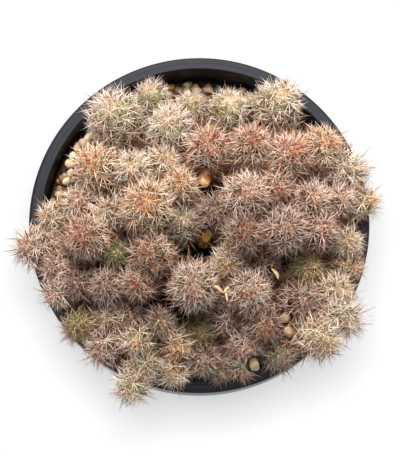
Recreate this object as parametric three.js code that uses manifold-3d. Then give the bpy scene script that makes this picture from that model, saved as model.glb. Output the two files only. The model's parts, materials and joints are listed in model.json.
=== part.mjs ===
// A clump of small round cactus heads in a plastic nursery pot, with soil, a gravel top,
// a dried fruit, dried flower parts and loose stones. Millimetres, +Z up.
// The origin is the centre of the pot's base, where it stands.

import * as THREE from 'three';
import { mergeVertices } from 'three/addons/utils/BufferGeometryUtils.js';
import Module from 'manifold-3d';

const wasm = await Module();
wasm.setup();
const { Manifold, Mesh } = wasm;

// ---------- driving dimensions ----------

const POT_HEIGHT = 92;
const RIM_RADIUS = 60;
const RIM_FLAT = 3.6;
const COLLAR_DEPTH = 14;
const BASE_RADIUS = 43;
const WALL = 1.2;
const FLOOR = 1.6;
const POT_SIDES = 40;

const DRAIN_HOLES = 6;
const DRAIN_RADIUS = 4;
const DRAIN_CIRCLE = 27;

const SEAT_GAP = 0.3;             // clearance between pieces that touch
const SOIL_BELOW_RIM = 16;
const GRAVEL_BELOW_RIM = 12.5;
const GRAVEL_INNER = 45;
const STONE_RADIUS = 3.2;
const STONE_COUNT = 40;

const HOLE_GAP = 0.45;            // clearance round a stem in its hole
const ROOT_DEPTH = 4;             // how far a stem stands in its hole in the soil
const BASE_SPREAD = 0.8;          // where a stem leaves the soil, as a share of its head's reach
const BASE_LIMIT = 41.5;

const SPINE_BASE = 0.42;
const SPINE_LENGTH = [4.2, 6.4];
const SPINE_SINK = 1.1;
const SPINE_CLEAR = 0.75;         // least distance between spines of two nodes

const RIM_Z = POT_HEIGHT;
const SOIL_Z = RIM_Z - SOIL_BELOW_RIM;
const GRAVEL_Z = RIM_Z - GRAVEL_BELOW_RIM;
const BED_Z = GRAVEL_Z + STONE_RADIUS;   // the highest that the gravel reaches
const RIM_INNER = RIM_RADIUS - RIM_FLAT;

// ---------- colours ----------

const TONES = {
  white: '#d8cbb9',
  cream: '#cdb99c',
  pink: '#c4a493',
  peach: '#cda585',
  red: '#b56f50',
  mauve: '#a98f86',
  olive: '#948a5c',
  green: '#7d8450',
};

// ---------- the heads ----------
// One row a head: number, middle of its round top (x, y), height of that middle above the rim,
// outer radius with the short inner spines, spine tone, and the head that it branches from, if any.

const HEADS = [
  [1, -29.5, 35.5, 11, 9.5, 'white'],
  [2, -16.5, 43.5, 8, 6, 'white'],
  [3, -10, 31.5, 14, 7.5, 'white'],
  [4, -3, 39, 11, 5, 'pink', 3],
  [5, 10, 38, 13, 7, 'white'],
  [6, 28, 40.5, 12, 9.5, 'white'],
  [7, -35.5, 17, 14, 8.5, 'peach'],
  [8, -22.5, 15.5, 17, 6.5, 'white'],
  [9, -12.5, 18, 17, 5.5, 'cream', 8],
  [10, 3, 23.5, 18, 7, 'red'],
  [11, 18, 24, 19, 6.5, 'red'],
  [12, 31, 20, 19, 7.5, 'red'],
  [13, 42.5, 24, 14, 7, 'peach'],
  [14, 51, 17, 10, 5.5, 'white', 13],
  [15, -18, 2, 22, 9, 'peach'],
  [16, -6.5, 9.5, 20, 5.5, 'peach'],
  [17, 16.5, 5.5, 23, 8.5, 'pink'],
  [18, 27, 9.5, 21, 5, 'red', 12],
  [19, 39, 5, 18, 7.5, 'pink'],
  [20, 49, 6, 13, 5.5, 'pink'],
  [21, 57, 6, 9, 6, 'cream'],
  [22, 5, 0, 19, 6.5, 'mauve'],
  [23, -38.5, -7.5, 16, 8, 'red'],
  [24, -57, -10, 9, 6.5, 'pink'],
  [25, -51, 1, 7, 4.5, 'cream', 62],
  [26, -16.5, -14, 20, 7.5, 'red'],
  [27, -28, -13.5, 14, 5.5, 'green'],
  [28, 15.5, -7.5, 22, 7, 'red'],
  [29, 10, -16, 17, 4.5, 'peach', 28],
  [30, 29.5, -6, 22, 8, 'mauve'],
  [31, 41.5, -5.5, 17, 7.5, 'mauve'],
  [32, 50.5, -8.5, 10, 6, 'cream'],
  [33, -49.5, -18.5, 8, 4.5, 'mauve', 34],
  [34, -49, -26, 7, 5, 'pink'],
  [35, -41, -23.5, 10, 5.5, 'mauve'],
  [36, -31.5, -24.5, 13, 6, 'mauve'],
  [37, -21, -23.5, 16, 6, 'red'],
  [38, -2, -25.5, 19, 8, 'pink'],
  [39, 17, -27, 16, 7.5, 'pink'],
  [40, 23, -17.5, 13, 4.5, 'mauve', 39],
  [41, 22, -37, 12, 6, 'red'],
  [42, 35, -29, 11, 7, 'mauve'],
  [43, 47, -25.5, 9, 6, 'pink'],
  [44, -42, -37.5, 6, 5, 'olive'],
  [45, -33.5, -45, 8, 6, 'pink'],
  [46, -32, -35, 9, 5.5, 'cream'],
  [47, -21.5, -43, 11, 7, 'cream'],
  [48, -13.5, -37.5, 12, 5, 'cream', 47],
  [49, -7.5, -44.5, 10, 6, 'peach'],
  [50, -19, -52, 10, 6.5, 'cream'],
  [51, -9, -53, 7, 6, 'cream'],
  [52, -23, -58.5, 9, 5.5, 'pink', 50],
  [53, 1.5, -49, 6, 5, 'pink'],
  [54, 7, -52, 3, 4, 'white', 53],
  [55, 14.5, -50.5, 3, 4.5, 'white', 58],
  [56, 27.5, -46.5, 5, 6, 'white'],
  [57, 0.5, -40, 9, 5.5, 'green'],
  [58, 16.5, -44, 7, 5.5, 'mauve'],
  [59, 41.5, -42.5, 12, 7, 'pink'],
  [60, 49.5, -34, 9, 6, 'pink', 43],
  [61, 35, -37.5, 7, 4.5, 'cream', 59],
  [62, -40.5, 5.5, 11, 6.5, 'pink'],
  [63, -5.5, -3, 17, 6, 'white'],
  [64, -30.5, 1.5, 13, 4.5, 'white', 15],
  [65, 52.5, -16, 8, 4, 'peach', 32],
  [66, 17, 41, 9, 4.5, 'white', 5],
  [67, 37.5, -18, 9, 5.5, 'olive', 42],
  [68, -24.5, -33, 8, 4, 'mauve', 46],
  [69, 9, -34.5, 6, 5, 'mauve', 57],
];

const FLESH_SHARE = 0.88;         // the green body's radius as a share of the outer radius
const BRANCH_AT = 0.42;           // how far up its parent's stem an offset starts
const STEM_RISE = 0.5;            // how much of its height a stem climbs before it arches outward
const EDGE_REACH = 50;            // heads further out than this lean over the rim

// The stem's outline from its root to the middle of the head: [share of the way, share of the radius].
const STEM_OUTLINE = [[0, 0.45], [0.32, 0.7], [0.68, 0.94], [1, 1]];
// The round top above the middle of the head: [height, radius], as shares of the radius.
const TOP_OUTLINE = [0.64, 0.77];

// ---------- small helpers ----------

function seededRandom(seed) {
  let state = seed >>> 0;
  return () => {
    state = (state + 0x6d2b79f5) >>> 0;
    let t = Math.imul(state ^ (state >>> 15), state | 1);
    t ^= t + Math.imul(t ^ (t >>> 7), t | 61);
    return ((t ^ (t >>> 14)) >>> 0) / 4294967296;
  };
}

const vec = (x, y, z) => new THREE.Vector3(x, y, z);
const outward = (p) => Math.hypot(p.x, p.y);

// Turns a closed three.js geometry into a solid that can be cut and joined.
function toSolid(geometry) {
  const plain = geometry.clone();
  plain.deleteAttribute('normal');
  plain.deleteAttribute('uv');
  const merged = mergeVertices(plain, 1e-4);
  const index = merged.index.array;
  const faces = [];
  for (let i = 0; i < index.length; i += 3) {
    const [a, b, c] = [index[i], index[i + 1], index[i + 2]];
    if (a !== b && b !== c && c !== a) faces.push(a, b, c);
  }
  return new Manifold(new Mesh({
    numProp: 3,
    vertProperties: new Float32Array(merged.attributes.position.array),
    triVerts: new Uint32Array(faces),
  }));
}

function toGeometry(solid) {
  const mesh = solid.getMesh();
  const geometry = new THREE.BufferGeometry();
  geometry.setAttribute('position', new THREE.BufferAttribute(mesh.vertProperties, 3));
  geometry.setIndex(new THREE.BufferAttribute(mesh.triVerts, 1));
  geometry.computeVertexNormals();
  return geometry;
}

const group = new THREE.Group();

function addPiece(name, solid, color, roughness = 0.8) {
  const material = new THREE.MeshStandardMaterial({ color, roughness, metalness: 0 });
  const mesh = new THREE.Mesh(toGeometry(solid), material);
  mesh.name = name;
  group.add(mesh);
}

// A solid turned from an outline of [radius, height] points.
function turned(outline, sides) {
  const lathe = new THREE.LatheGeometry(outline.map(([r, z]) => new THREE.Vector2(r, z)), sides);
  return toSolid(lathe.rotateX(Math.PI / 2));
}

// ---------- pot ----------

const wallRadius = (z) => {
  const slope = (RIM_INNER - (BASE_RADIUS - WALL)) / (POT_HEIGHT - FLOOR);
  return BASE_RADIUS - WALL + slope * (z - FLOOR);
};

function makePot() {
  const collarZ = POT_HEIGHT - COLLAR_DEPTH;
  const flatUnder = POT_HEIGHT - WALL;
  const bevel = 0.5;
  const outline = [
    [0, 0],
    [BASE_RADIUS - bevel, 0],
    [BASE_RADIUS, bevel],
    [wallRadius(collarZ) + WALL, collarZ],
    [wallRadius(flatUnder) + WALL, flatUnder],
    [RIM_RADIUS - WALL, flatUnder],
    [RIM_RADIUS - WALL - bevel, collarZ],
    [RIM_RADIUS - bevel, collarZ],
    [RIM_RADIUS, POT_HEIGHT - bevel],
    [RIM_RADIUS - bevel, POT_HEIGHT],
    [RIM_INNER + bevel, POT_HEIGHT],
    [RIM_INNER, POT_HEIGHT - bevel],
    [BASE_RADIUS - WALL, FLOOR],
    [0, FLOOR],
  ];
  let pot = turned(outline, POT_SIDES);
  for (let i = 0; i < DRAIN_HOLES; i += 1) {
    const angle = (i / DRAIN_HOLES) * 2 * Math.PI;
    const hole = new THREE.CylinderGeometry(DRAIN_RADIUS, DRAIN_RADIUS, 4 * FLOOR, 8);
    hole.rotateX(Math.PI / 2).translate(DRAIN_CIRCLE * Math.cos(angle), DRAIN_CIRCLE * Math.sin(angle), 0);
    pot = pot.subtract(toSolid(hole));
  }
  return pot;
}

// ---------- stems: their paths and thickness ----------

// A stem rises from the soil and arches outward to the middle of its head.
function stemPath(root, middle) {
  const rise = vec(root.x, root.y, root.z + STEM_RISE * (middle.z - root.z));
  return new THREE.QuadraticBezierCurve3(root, rise, middle);
}

function planHeads() {
  const heads = new Map();
  for (const [number, x, y, height, reach, tone, from] of HEADS) {
    const middle = vec(x, y, RIM_Z + height);
    const spread = Math.min(BASE_SPREAD, BASE_LIMIT / Math.hypot(x, y));
    const root = vec(x * spread, y * spread, SOIL_Z - ROOT_DEPTH);
    const radius = FLESH_SHARE * reach;
    heads.set(number, { number, middle, root, radius, tone, from, node: from ?? number });
  }
  for (const head of heads.values()) {
    if (head.from !== undefined) {
      const parent = heads.get(head.from);
      head.root = stemPath(parent.root, parent.middle).getPoint(BRANCH_AT);
    }
    head.path = stemPath(head.root, head.middle);
    head.lean = head.path.getTangent(1).normalize();
  }
  return [...heads.values()];
}

// Points along a head's middle line, from its root to the top of its dome.
function middleLine(head, steps = 10) {
  const points = head.path.getPoints(steps);
  const dome = head.middle.clone().addScaledVector(head.lean, TOP_OUTLINE[0] * head.radius);
  return [...points, dome];
}

// How far a point is from the pot's rim and wall, and from the gravel bed inside it.
function potClearance(p) {
  const reach = outward(p);
  const inner = wallRadius(Math.min(p.z, RIM_Z));
  const dx = Math.max(inner - reach, reach - RIM_RADIUS, 0);
  const rim = Math.hypot(dx, Math.max(p.z - RIM_Z, 0));
  if (reach > RIM_INNER) return rim;
  const gravel = Math.hypot(Math.max(GRAVEL_INNER - reach, 0), Math.max(p.z - BED_Z, 0));
  return Math.min(rim, gravel);
}

// The radius that a ring of a stem has: its own outline, narrowed where the pot,
// the gravel or a neighbour leaves less room.
function roomAt(head, p, wanted, heads) {
  let room = Math.min(wanted, potClearance(p) - SEAT_GAP);
  for (const other of heads) {
    if (other.node === head.node) continue;
    const share = head.radius / (head.radius + other.radius);
    for (const q of other.line) {
      room = Math.min(room, p.distanceTo(q) * share - 0.8 * SEAT_GAP);
    }
  }
  return Math.max(room, 0.8);
}

function sizeHeads(heads) {
  for (const head of heads) head.line = middleLine(head);
  for (const head of heads) {
    head.rings = STEM_OUTLINE.map(([along, share]) => {
      const centre = head.path.getPoint(along);
      const axis = head.path.getTangent(along).normalize();
      return { centre, axis, radius: roomAt(head, centre, share * head.radius, heads) };
    });
    const girth = head.rings.at(-1).radius;
    const [up, share] = TOP_OUTLINE;
    const dome = head.middle.clone().addScaledVector(head.lean, up * girth);
    head.rings.push({ centre: dome, axis: head.lean, radius: roomAt(head, dome, share * girth, heads) });
    head.apex = head.middle.clone().addScaledVector(head.lean, girth);
    head.girth = girth;
    head.overhangs = outward(head.middle) > EDGE_REACH;
    head.sides = girth < 4.2 ? 6 : girth < 5.8 ? 7 : 8;
  }
}

// A lathe body bent along the stem. Each ring turns half a step on from the one below it,
// so the facets stand in spiral rows, as the warts of such a cactus do.
function fleshSolid(head) {
  const { rings, sides } = head;
  const outline = [[0, 0], ...rings.map((ring, i) => [ring.radius, i]), [0, rings.length - 1]];
  const lathe = new THREE.LatheGeometry(outline.map(([r, z]) => new THREE.Vector2(r, z)), sides);
  const position = lathe.attributes.position;
  const perRow = outline.length;
  for (let i = 0; i < position.count; i += 1) {
    const level = i % perRow;
    const column = Math.floor(i / perRow) % sides;
    const place = pointOnHead(head, level, column, perRow);
    position.setXYZ(i, place.x, place.y, place.z);
  }
  return toSolid(lathe);
}

function pointOnHead(head, level, column, perRow) {
  if (level === 0) return head.rings[0].centre.clone();
  if (level === perRow - 1) return head.apex.clone();
  const ring = head.rings[level - 1];
  const angle = ((column + 0.5 * (level - 1)) / head.sides) * 2 * Math.PI;
  const across = vec(0, 1, 0).cross(ring.axis).normalize();
  const along = across.clone().cross(ring.axis);
  return ring.centre.clone()
    .addScaledVector(across, ring.radius * Math.sin(angle))
    .addScaledVector(along, ring.radius * Math.cos(angle));
}

// ---------- spines ----------

// The middle of a facet of the flesh and the way it faces.
function facet(head, corners) {
  const [a, b, c] = corners.map(([level, column]) => pointOnHead(head, level, column, head.rings.length + 2));
  const middle = a.clone().add(b).add(c).divideScalar(3);
  const normal = b.clone().sub(a).cross(c.clone().sub(a)).normalize();
  const out = middle.clone().sub(head.middle);
  if (normal.dot(out) < 0) normal.negate();
  return { middle, normal };
}

// Where a head's spines stand: one on each facet of the dome and of the belt below it.
// A head that leans out over the rim, where its side shows, has a second belt.
function spineSpots(head) {
  const top = head.rings.length;
  const spots = [];
  for (let i = 0; i < head.sides; i += 1) {
    spots.push(facet(head, [[top, i], [top, i + 1], [top + 1, i]]));
    spots.push(facet(head, [[top - 1, i], [top - 1, i + 1], [top, i]]));
    if (head.overhangs && i % 2 === 0) spots.push(facet(head, [[top - 1, i + 1], [top, i + 1], [top, i]]));
  }
  return spots;
}

// The least distance between two straight pieces, by sampling one against the other.
function segmentGap(a, b) {
  const point = vec(0, 0, 0);
  const near = vec(0, 0, 0);
  let gap = Infinity;
  for (let i = 0; i <= 8; i += 1) {
    a.at(i / 8, point);
    b.closestPointToPoint(point, true, near);
    gap = Math.min(gap, point.distanceTo(near));
  }
  return gap;
}

function spineIsClear(line, head, heads, spines, looseBalls) {
  const point = vec(0, 0, 0);
  for (let i = 0; i <= 10; i += 1) {
    line.at(i / 10, point);
    if (point.z < SOIL_Z + 2 * SEAT_GAP) return false;
    if (potClearance(point) < 2 * SEAT_GAP) return false;
  }
  for (const ball of looseBalls) {
    line.closestPointToPoint(ball.centre, true, point);
    if (point.distanceTo(ball.centre) < ball.radius + 2 * SEAT_GAP) return false;
  }
  for (const other of heads) {
    if (other.node === head.node) continue;
    for (const ball of other.balls) {
      line.closestPointToPoint(ball.centre, true, point);
      if (point.distanceTo(ball.centre) < ball.radius + 2 * SEAT_GAP) return false;
    }
  }
  for (const other of spines) {
    if (other.node === head.node) continue;
    if (line.start.distanceTo(other.line.start) > 2 * SPINE_LENGTH[1] + SPINE_CLEAR) continue;
    if (segmentGap(line, other.line) < SPINE_CLEAR) return false;
  }
  return true;
}

// A spine stands out from its facet. One that would meet a neighbour, the pot or the gravel
// is bent towards the top of its own head, or aside, and left out if that clears nothing.
const BENDS = [[0, 0], [0.3, 0], [0, 0.35], [0, -0.35], [0.6, 0], [0.3, 0.4], [0.3, -0.4], [1, 0], [1.6, 0]];

function growSpines(head, heads, spines, looseBalls, random) {
  for (const spot of spineSpots(head)) {
    const length = THREE.MathUtils.lerp(...SPINE_LENGTH, random()) * (head.girth < 4 ? 0.85 : 1);
    const sway = vec(random() - 0.5, random() - 0.5, random() - 0.5).multiplyScalar(0.5);
    const side = spot.normal.clone().cross(head.lean).normalize();
    for (const [up, aside] of BENDS) {
      const way = spot.normal.clone().add(sway)
        .addScaledVector(head.lean, 0.15 + up).addScaledVector(side, aside).normalize();
      if (way.dot(spot.normal) < 0.35) continue;
      const foot = spot.middle.clone().addScaledVector(way, 0.25);
      const line = new THREE.Line3(foot, foot.clone().addScaledVector(way, length));
      if (spineIsClear(line, head, heads, spines, looseBalls)) {
        spines.push({ node: head.node, line, way, length });
        break;
      }
    }
  }
}

function spineSolid(spine) {
  const height = spine.length + SPINE_SINK;
  const cone = new THREE.ConeGeometry(SPINE_BASE, height, 3);
  cone.translate(0, height / 2, 0);
  cone.applyQuaternion(new THREE.Quaternion().setFromUnitVectors(vec(0, 1, 0), spine.way));
  const base = spine.line.start.clone().addScaledVector(spine.way, -SPINE_SINK);
  return toSolid(cone.translate(base.x, base.y, base.z));
}

// ---------- soil and gravel ----------

function makeSoil(heads) {
  const low = FLOOR + SEAT_GAP;
  const outline = [
    [0, low],
    [wallRadius(low) - SEAT_GAP, low],
    [wallRadius(SOIL_Z) - SEAT_GAP, SOIL_Z],
    [0, SOIL_Z],
  ];
  let soil = turned(outline, POT_SIDES / 2);
  for (const head of heads) {
    if (head.from !== undefined) continue;
    const [root, above] = head.rings;
    const atSurface = ROOT_DEPTH / (above.centre.z - root.centre.z);
    const drift = above.centre.clone().sub(root.centre).multiplyScalar(atSurface / 2);
    const thick = THREE.MathUtils.lerp(root.radius, above.radius, atSurface);
    const wide = (thick + HOLE_GAP + outward(drift)) / Math.cos(Math.PI / 6);
    const hole = new THREE.CylinderGeometry(wide, wide, 2 * (ROOT_DEPTH + SEAT_GAP), 6);
    hole.rotateX(Math.PI / 2).translate(root.centre.x + drift.x, root.centre.y + drift.y, SOIL_Z);
    soil = soil.subtract(toSolid(hole));
  }
  return soil;
}

function stoneGeometry(radius, random) {
  const stone = new THREE.IcosahedronGeometry(radius, 0);
  stone.scale(0.85 + 0.15 * random(), 0.85 + 0.15 * random(), 0.75 + 0.1 * random());
  stone.rotateZ(random() * Math.PI);
  return stone;
}

function makeGravel(random) {
  const low = SOIL_Z + SEAT_GAP;
  const outer = (z) => wallRadius(z) - SEAT_GAP;
  const outline = [
    [GRAVEL_INNER, low],
    [outer(low), low],
    [outer(GRAVEL_Z), GRAVEL_Z],
    [GRAVEL_INNER + 0.6, GRAVEL_Z],
    [GRAVEL_INNER, low],
  ];
  const bed = turned(outline, POT_SIDES / 2);
  const stones = [bed];
  const inset = STONE_RADIUS + SEAT_GAP;
  const rows = [outer(GRAVEL_Z) * Math.cos(Math.PI / POT_SIDES) - inset, GRAVEL_INNER + inset];
  for (let i = 0; i < STONE_COUNT; i += 1) {
    const angle = ((i + 0.4 * random()) / STONE_COUNT) * 2 * Math.PI;
    const stone = stoneGeometry(STONE_RADIUS, random);
    stone.translate(rows[i % 2] * Math.cos(angle), rows[i % 2] * Math.sin(angle), GRAVEL_Z + 0.4);
    stones.push(toSolid(stone));
  }
  return Manifold.union(stones);
}

// ---------- loose and dried pieces ----------
// Each starts at a place above or beside the flesh, and moves one way until it is SEAT_GAP from it.

function thinCurl(length, width, thick, rise) {
  const strip = new THREE.BoxGeometry(length, width, thick, 4, 1, 1);
  const position = strip.attributes.position;
  for (let i = 0; i < position.count; i += 1) {
    const along = (2 * position.getX(i)) / length;
    position.setZ(i, position.getZ(i) + rise * (1 - along * along));
    position.setY(i, position.getY(i) * (1 - 0.45 * along * along));
  }
  return strip;
}

function fruitGeometry(across, length, sides, rows) {
  return new THREE.SphereGeometry(across / 2, sides, rows).scale(1, length / across, 0.85);
}

const DOWN = vec(0, 0, -1);
const LOOSE = [
  { name: 'dried_fruit', shape: () => fruitGeometry(4.2, 6.6, 8, 6), at: [2, 11.5, 15], way: vec(0, 1, 0),
    color: '#d9a040', reach: 3.4 },
  { name: 'dried_flower', shape: () => fruitGeometry(6, 6.4, 7, 5), at: [2.2, -10, 12], way: vec(-0.2, 1, 0),
    color: '#8a6530', reach: 3.4 },
  { name: 'shed_petal_1', shape: () => thinCurl(8.8, 2.2, 0.7, 0.9).rotateZ(-0.6), at: [7.5, -28.5, 40],
    way: DOWN, color: '#dcc7a0', reach: 3.2 },
  { name: 'shed_petal_2', shape: () => thinCurl(5, 1.8, 0.7, 0.7).rotateZ(-1.1), at: [26.2, -20.5, 40],
    way: DOWN, color: '#dcc7a0', reach: 2.2 },
  { name: 'loose_stone_1', shape: (r) => stoneGeometry(2.3, r), at: [29.9, -34.2, 40], way: DOWN,
    color: '#c9b49b', reach: 2.4 },
  { name: 'loose_stone_2', shape: (r) => stoneGeometry(2, r), at: [31, -39.8, 40], way: DOWN,
    color: '#b99c6c', reach: 2.1 },
  { name: 'loose_stone_3', shape: (r) => stoneGeometry(2.4, r), at: [19.3, -50.5, 40], way: DOWN,
    color: '#cdbb9a', reach: 2.5 },
];

function settle(piece, below, random) {
  const step = 0.1;
  const way = piece.way.clone().normalize();
  const place = vec(piece.at[0], piece.at[1], RIM_Z + piece.at[2]);
  const solid = toSolid(piece.shape(random));
  const meets = (p) => !solid.translate(p.x, p.y, p.z).intersect(below).isEmpty();
  while (!meets(place)) place.addScaledVector(way, step);
  place.addScaledVector(way, -step - SEAT_GAP);
  return { ...piece, solid: solid.translate(place.x, place.y, place.z), centre: place, radius: piece.reach };
}

// ---------- assembly ----------

const heads = planHeads();
sizeHeads(heads);
for (const head of heads) {
  head.balls = [];
  for (let i = 1; i < head.rings.length; i += 1) {
    const [below, above] = [head.rings[i - 1], head.rings[i]];
    for (const share of [0.25, 0.5, 0.75, 1]) {
      const centre = below.centre.clone().lerp(above.centre, share);
      head.balls.push({ centre, radius: THREE.MathUtils.lerp(below.radius, above.radius, share) });
    }
  }
  head.flesh = fleshSolid(head);
}

const gravel = makeGravel(seededRandom(5));
const bedAndFlesh = Manifold.union([gravel, ...heads.map((head) => head.flesh)]);
const looseRandom = seededRandom(3);
const loose = LOOSE.map((piece) => settle(piece, bedAndFlesh, looseRandom));

const spines = [];
const spineRandom = seededRandom(11);
for (const head of heads) growSpines(head, heads, spines, loose, spineRandom);

addPiece('pot', makePot(), '#2f3034', 0.5);
addPiece('potting_soil', makeSoil(heads), '#3b2d22', 1);
addPiece('gravel_dressing', gravel, '#a98f76', 0.9);
for (const piece of loose) addPiece(piece.name, piece.solid, piece.color);

for (const head of heads) {
  if (head.from !== undefined) continue;
  const grown = heads.filter((h) => h.node === head.node).map((h) => h.flesh);
  const needles = spines.filter((s) => s.node === head.node).map(spineSolid);
  const name = `head_${String(head.number).padStart(2, '0')}`;
  addPiece(name, Manifold.union([...grown, ...needles]), TONES[head.tone]);
}

export default group;
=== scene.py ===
"""A clump of small round cactus heads in a nursery pot: the finish and fine detail of every piece."""

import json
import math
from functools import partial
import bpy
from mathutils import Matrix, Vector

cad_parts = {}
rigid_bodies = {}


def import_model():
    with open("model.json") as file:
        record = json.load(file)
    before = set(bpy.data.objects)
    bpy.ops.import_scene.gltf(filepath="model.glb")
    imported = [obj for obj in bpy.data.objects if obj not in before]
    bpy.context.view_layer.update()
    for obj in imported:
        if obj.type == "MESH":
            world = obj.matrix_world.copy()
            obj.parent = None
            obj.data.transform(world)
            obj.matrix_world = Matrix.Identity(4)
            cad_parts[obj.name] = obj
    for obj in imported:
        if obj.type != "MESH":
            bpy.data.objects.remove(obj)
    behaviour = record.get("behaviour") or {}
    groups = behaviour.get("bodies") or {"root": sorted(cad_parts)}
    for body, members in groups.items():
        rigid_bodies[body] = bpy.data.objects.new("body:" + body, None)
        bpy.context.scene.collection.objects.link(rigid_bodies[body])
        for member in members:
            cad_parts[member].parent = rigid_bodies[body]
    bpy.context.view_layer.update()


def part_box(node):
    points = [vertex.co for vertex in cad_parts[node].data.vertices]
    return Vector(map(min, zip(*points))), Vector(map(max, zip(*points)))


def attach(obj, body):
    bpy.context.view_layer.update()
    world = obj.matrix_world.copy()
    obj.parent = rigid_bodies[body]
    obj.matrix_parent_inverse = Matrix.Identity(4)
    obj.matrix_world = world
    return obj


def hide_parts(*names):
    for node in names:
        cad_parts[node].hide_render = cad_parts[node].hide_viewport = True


bl_info = {
    "name": "Potted Cactus Clump",
    "version": (1, 0, 0),
    "blender": (4, 5, 0),
    "location": "View3D > Sidebar > Cactus",
    "description": "Grows a clump of spiny cactus heads in a nursery pot with soil, gravel and litter",
    "category": "Add Mesh",
}

from types import SimpleNamespace

import bmesh
import bpy
import numpy as np
from bpy.props import FloatProperty, IntProperty, PointerProperty
from mathutils import Vector, noise

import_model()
POT_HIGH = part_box("pot")[1]
SOIL_LOW, SOIL_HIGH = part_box("potting_soil")
GRAVEL_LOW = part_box("gravel_dressing")[0]

MM = 0.001
TURN = 2 * math.pi
GOLDEN_TURN = math.radians(137.508)

# ---------- the heads ----------
# One row a head, in millimetres: number, middle of its round top (x, y), height of that middle above the
# rim, outer radius with the short inner spines, spine tone, and the head that it branches from, if any.

HEADS = [
    (1, -29.5, 35.5, 11, 9.5, "white"),
    (2, -16.5, 43.5, 8, 6, "white"),
    (3, -10, 31.5, 14, 7.5, "white"),
    (4, -3, 39, 11, 5, "white", 3),
    (5, 10, 38, 13, 7, "white"),
    (6, 28, 40.5, 12, 9.5, "white"),
    (7, -35.5, 17, 14, 8.5, "peach"),
    (8, -22.5, 15.5, 17, 6.5, "white"),
    (9, -12.5, 18, 17, 5.5, "cream", 8),
    (10, 3, 23.5, 18, 7, "red"),
    (11, 18, 24, 19, 6.5, "red"),
    (12, 31, 20, 19, 7.5, "red"),
    (13, 42.5, 24, 14, 7, "peach"),
    (14, 51, 17, 10, 5.5, "white", 13),
    (15, -18, 2, 22, 9, "peach"),
    (16, -6.5, 9.5, 20, 5.5, "peach"),
    (17, 16.5, 5.5, 23, 8.5, "pink"),
    (18, 27, 9.5, 21, 5, "red", 12),
    (19, 39, 5, 18, 7.5, "pink"),
    (20, 49, 6, 13, 5.5, "pink"),
    (21, 57, 6, 9, 6, "cream"),
    (22, 5, 0, 19, 6.5, "mauve"),
    (23, -38.5, -7.5, 16, 8, "red"),
    (24, -57, -10, 9, 6.5, "pink"),
    (25, -51, 1, 7, 4.5, "cream", 62),
    (26, -16.5, -14, 20, 7.5, "red"),
    (27, -28, -13.5, 14, 5.5, "green"),
    (28, 15.5, -7.5, 22, 7, "red"),
    (29, 10, -16, 17, 4.5, "cream", 28),
    (30, 29.5, -6, 22, 8, "mauve"),
    (31, 41.5, -5.5, 17, 7.5, "mauve"),
    (32, 50.5, -8.5, 10, 6, "cream"),
    (33, -49.5, -18.5, 8, 4.5, "mauve", 34),
    (34, -49, -26, 7, 5, "pink"),
    (35, -41, -23.5, 10, 5.5, "mauve"),
    (36, -31.5, -24.5, 13, 6, "mauve"),
    (37, -21, -23.5, 16, 6, "red"),
    (38, -2, -25.5, 19, 8, "pink"),
    (39, 17, -27, 16, 7.5, "pink"),
    (40, 23, -17.5, 13, 4.5, "mauve", 39),
    (41, 22, -37, 12, 6, "red"),
    (42, 35, -29, 11, 7, "mauve"),
    (43, 47, -25.5, 9, 6, "cream"),
    (44, -42, -37.5, 6, 5, "olive"),
    (45, -33.5, -45, 8, 6, "pink"),
    (46, -32, -35, 9, 5.5, "cream"),
    (47, -21.5, -43, 11, 7, "cream"),
    (48, -13.5, -37.5, 12, 5, "cream", 47),
    (49, -7.5, -44.5, 10, 6, "peach"),
    (50, -19, -52, 10, 6.5, "cream"),
    (51, -9, -53, 7, 6, "cream"),
    (52, -23, -58.5, 9, 5.5, "white", 50),
    (53, 1.5, -49, 6, 5, "pink"),
    (54, 7, -52, 3, 4, "cream", 53),
    (55, 14.5, -50.5, 3, 4.5, "cream", 58),
    (56, 27.5, -46.5, 5, 6, "cream"),
    (57, 0.5, -40, 9, 5.5, "olive"),
    (58, 16.5, -44, 7, 5.5, "mauve"),
    (59, 41.5, -42.5, 12, 7, "cream"),
    (60, 49.5, -34, 9, 6, "white", 43),
    (61, 35, -37.5, 7, 4.5, "cream", 59),
    (62, -40.5, 5.5, 11, 6.5, "pink"),
    (63, -5.5, -3, 17, 6, "white"),
    (64, -30.5, 1.5, 13, 4.5, "white", 15),
    (65, 52.5, -16, 8, 4, "peach", 32),
    (66, 17, 41, 9, 4.5, "white", 5),
    (67, 37.5, -18, 9, 5.5, "olive", 42),
    (68, -24.5, -33, 8, 4, "mauve", 46),
    (69, 9, -34.5, 6, 5, "mauve", 57),
]

# Each tone: colours of the fine outer spines, the stout middle spines and the skin,
# and how many middle spines a young areole has.
TONES = {
    "white": ("#f8efe4", "#ecd0a6", "#7d7b46", 2.0),
    "cream": ("#fbeedd", "#dfac70", "#6f6a38", 2.5),
    "pink": ("#f9e6da", "#bb7757", "#57492c", 3.0),
    "peach": ("#fbe6d0", "#e0914a", "#5f552c", 6.0),
    "red": ("#f6ddcc", "#cb6c3a", "#4c3f22", 9.0),
    "mauve": ("#f0d8cc", "#9a5c46", "#3f321d", 3.5),
    "olive": ("#e6d6ae", "#b08a50", "#7a7434", 1.5),
    "green": ("#e6dfba", "#b8a060", "#5a7a30", 0.5),
}

# Heads low in the clump, with painted shade for their depth: how light all their colours are, as a share of
# their tone.
DEEP_HEAD_SHADE = {
    1: 0.95, 22: 0.55, 23: 0.9, 24: 0.9, 26: 0.75, 27: 0.45, 28: 0.65, 30: 0.8, 32: 0.85, 35: 0.5, 36: 0.7,
    37: 0.8, 38: 0.8, 39: 0.85, 40: 0.4, 41: 0.7, 42: 0.75, 43: 0.9, 44: 0.6, 45: 0.85, 46: 0.7, 48: 0.45,
    50: 0.7, 53: 0.65, 54: 0.4, 55: 0.6, 56: 0.5, 57: 0.65, 61: 0.9, 63: 0.65,
}

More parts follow.
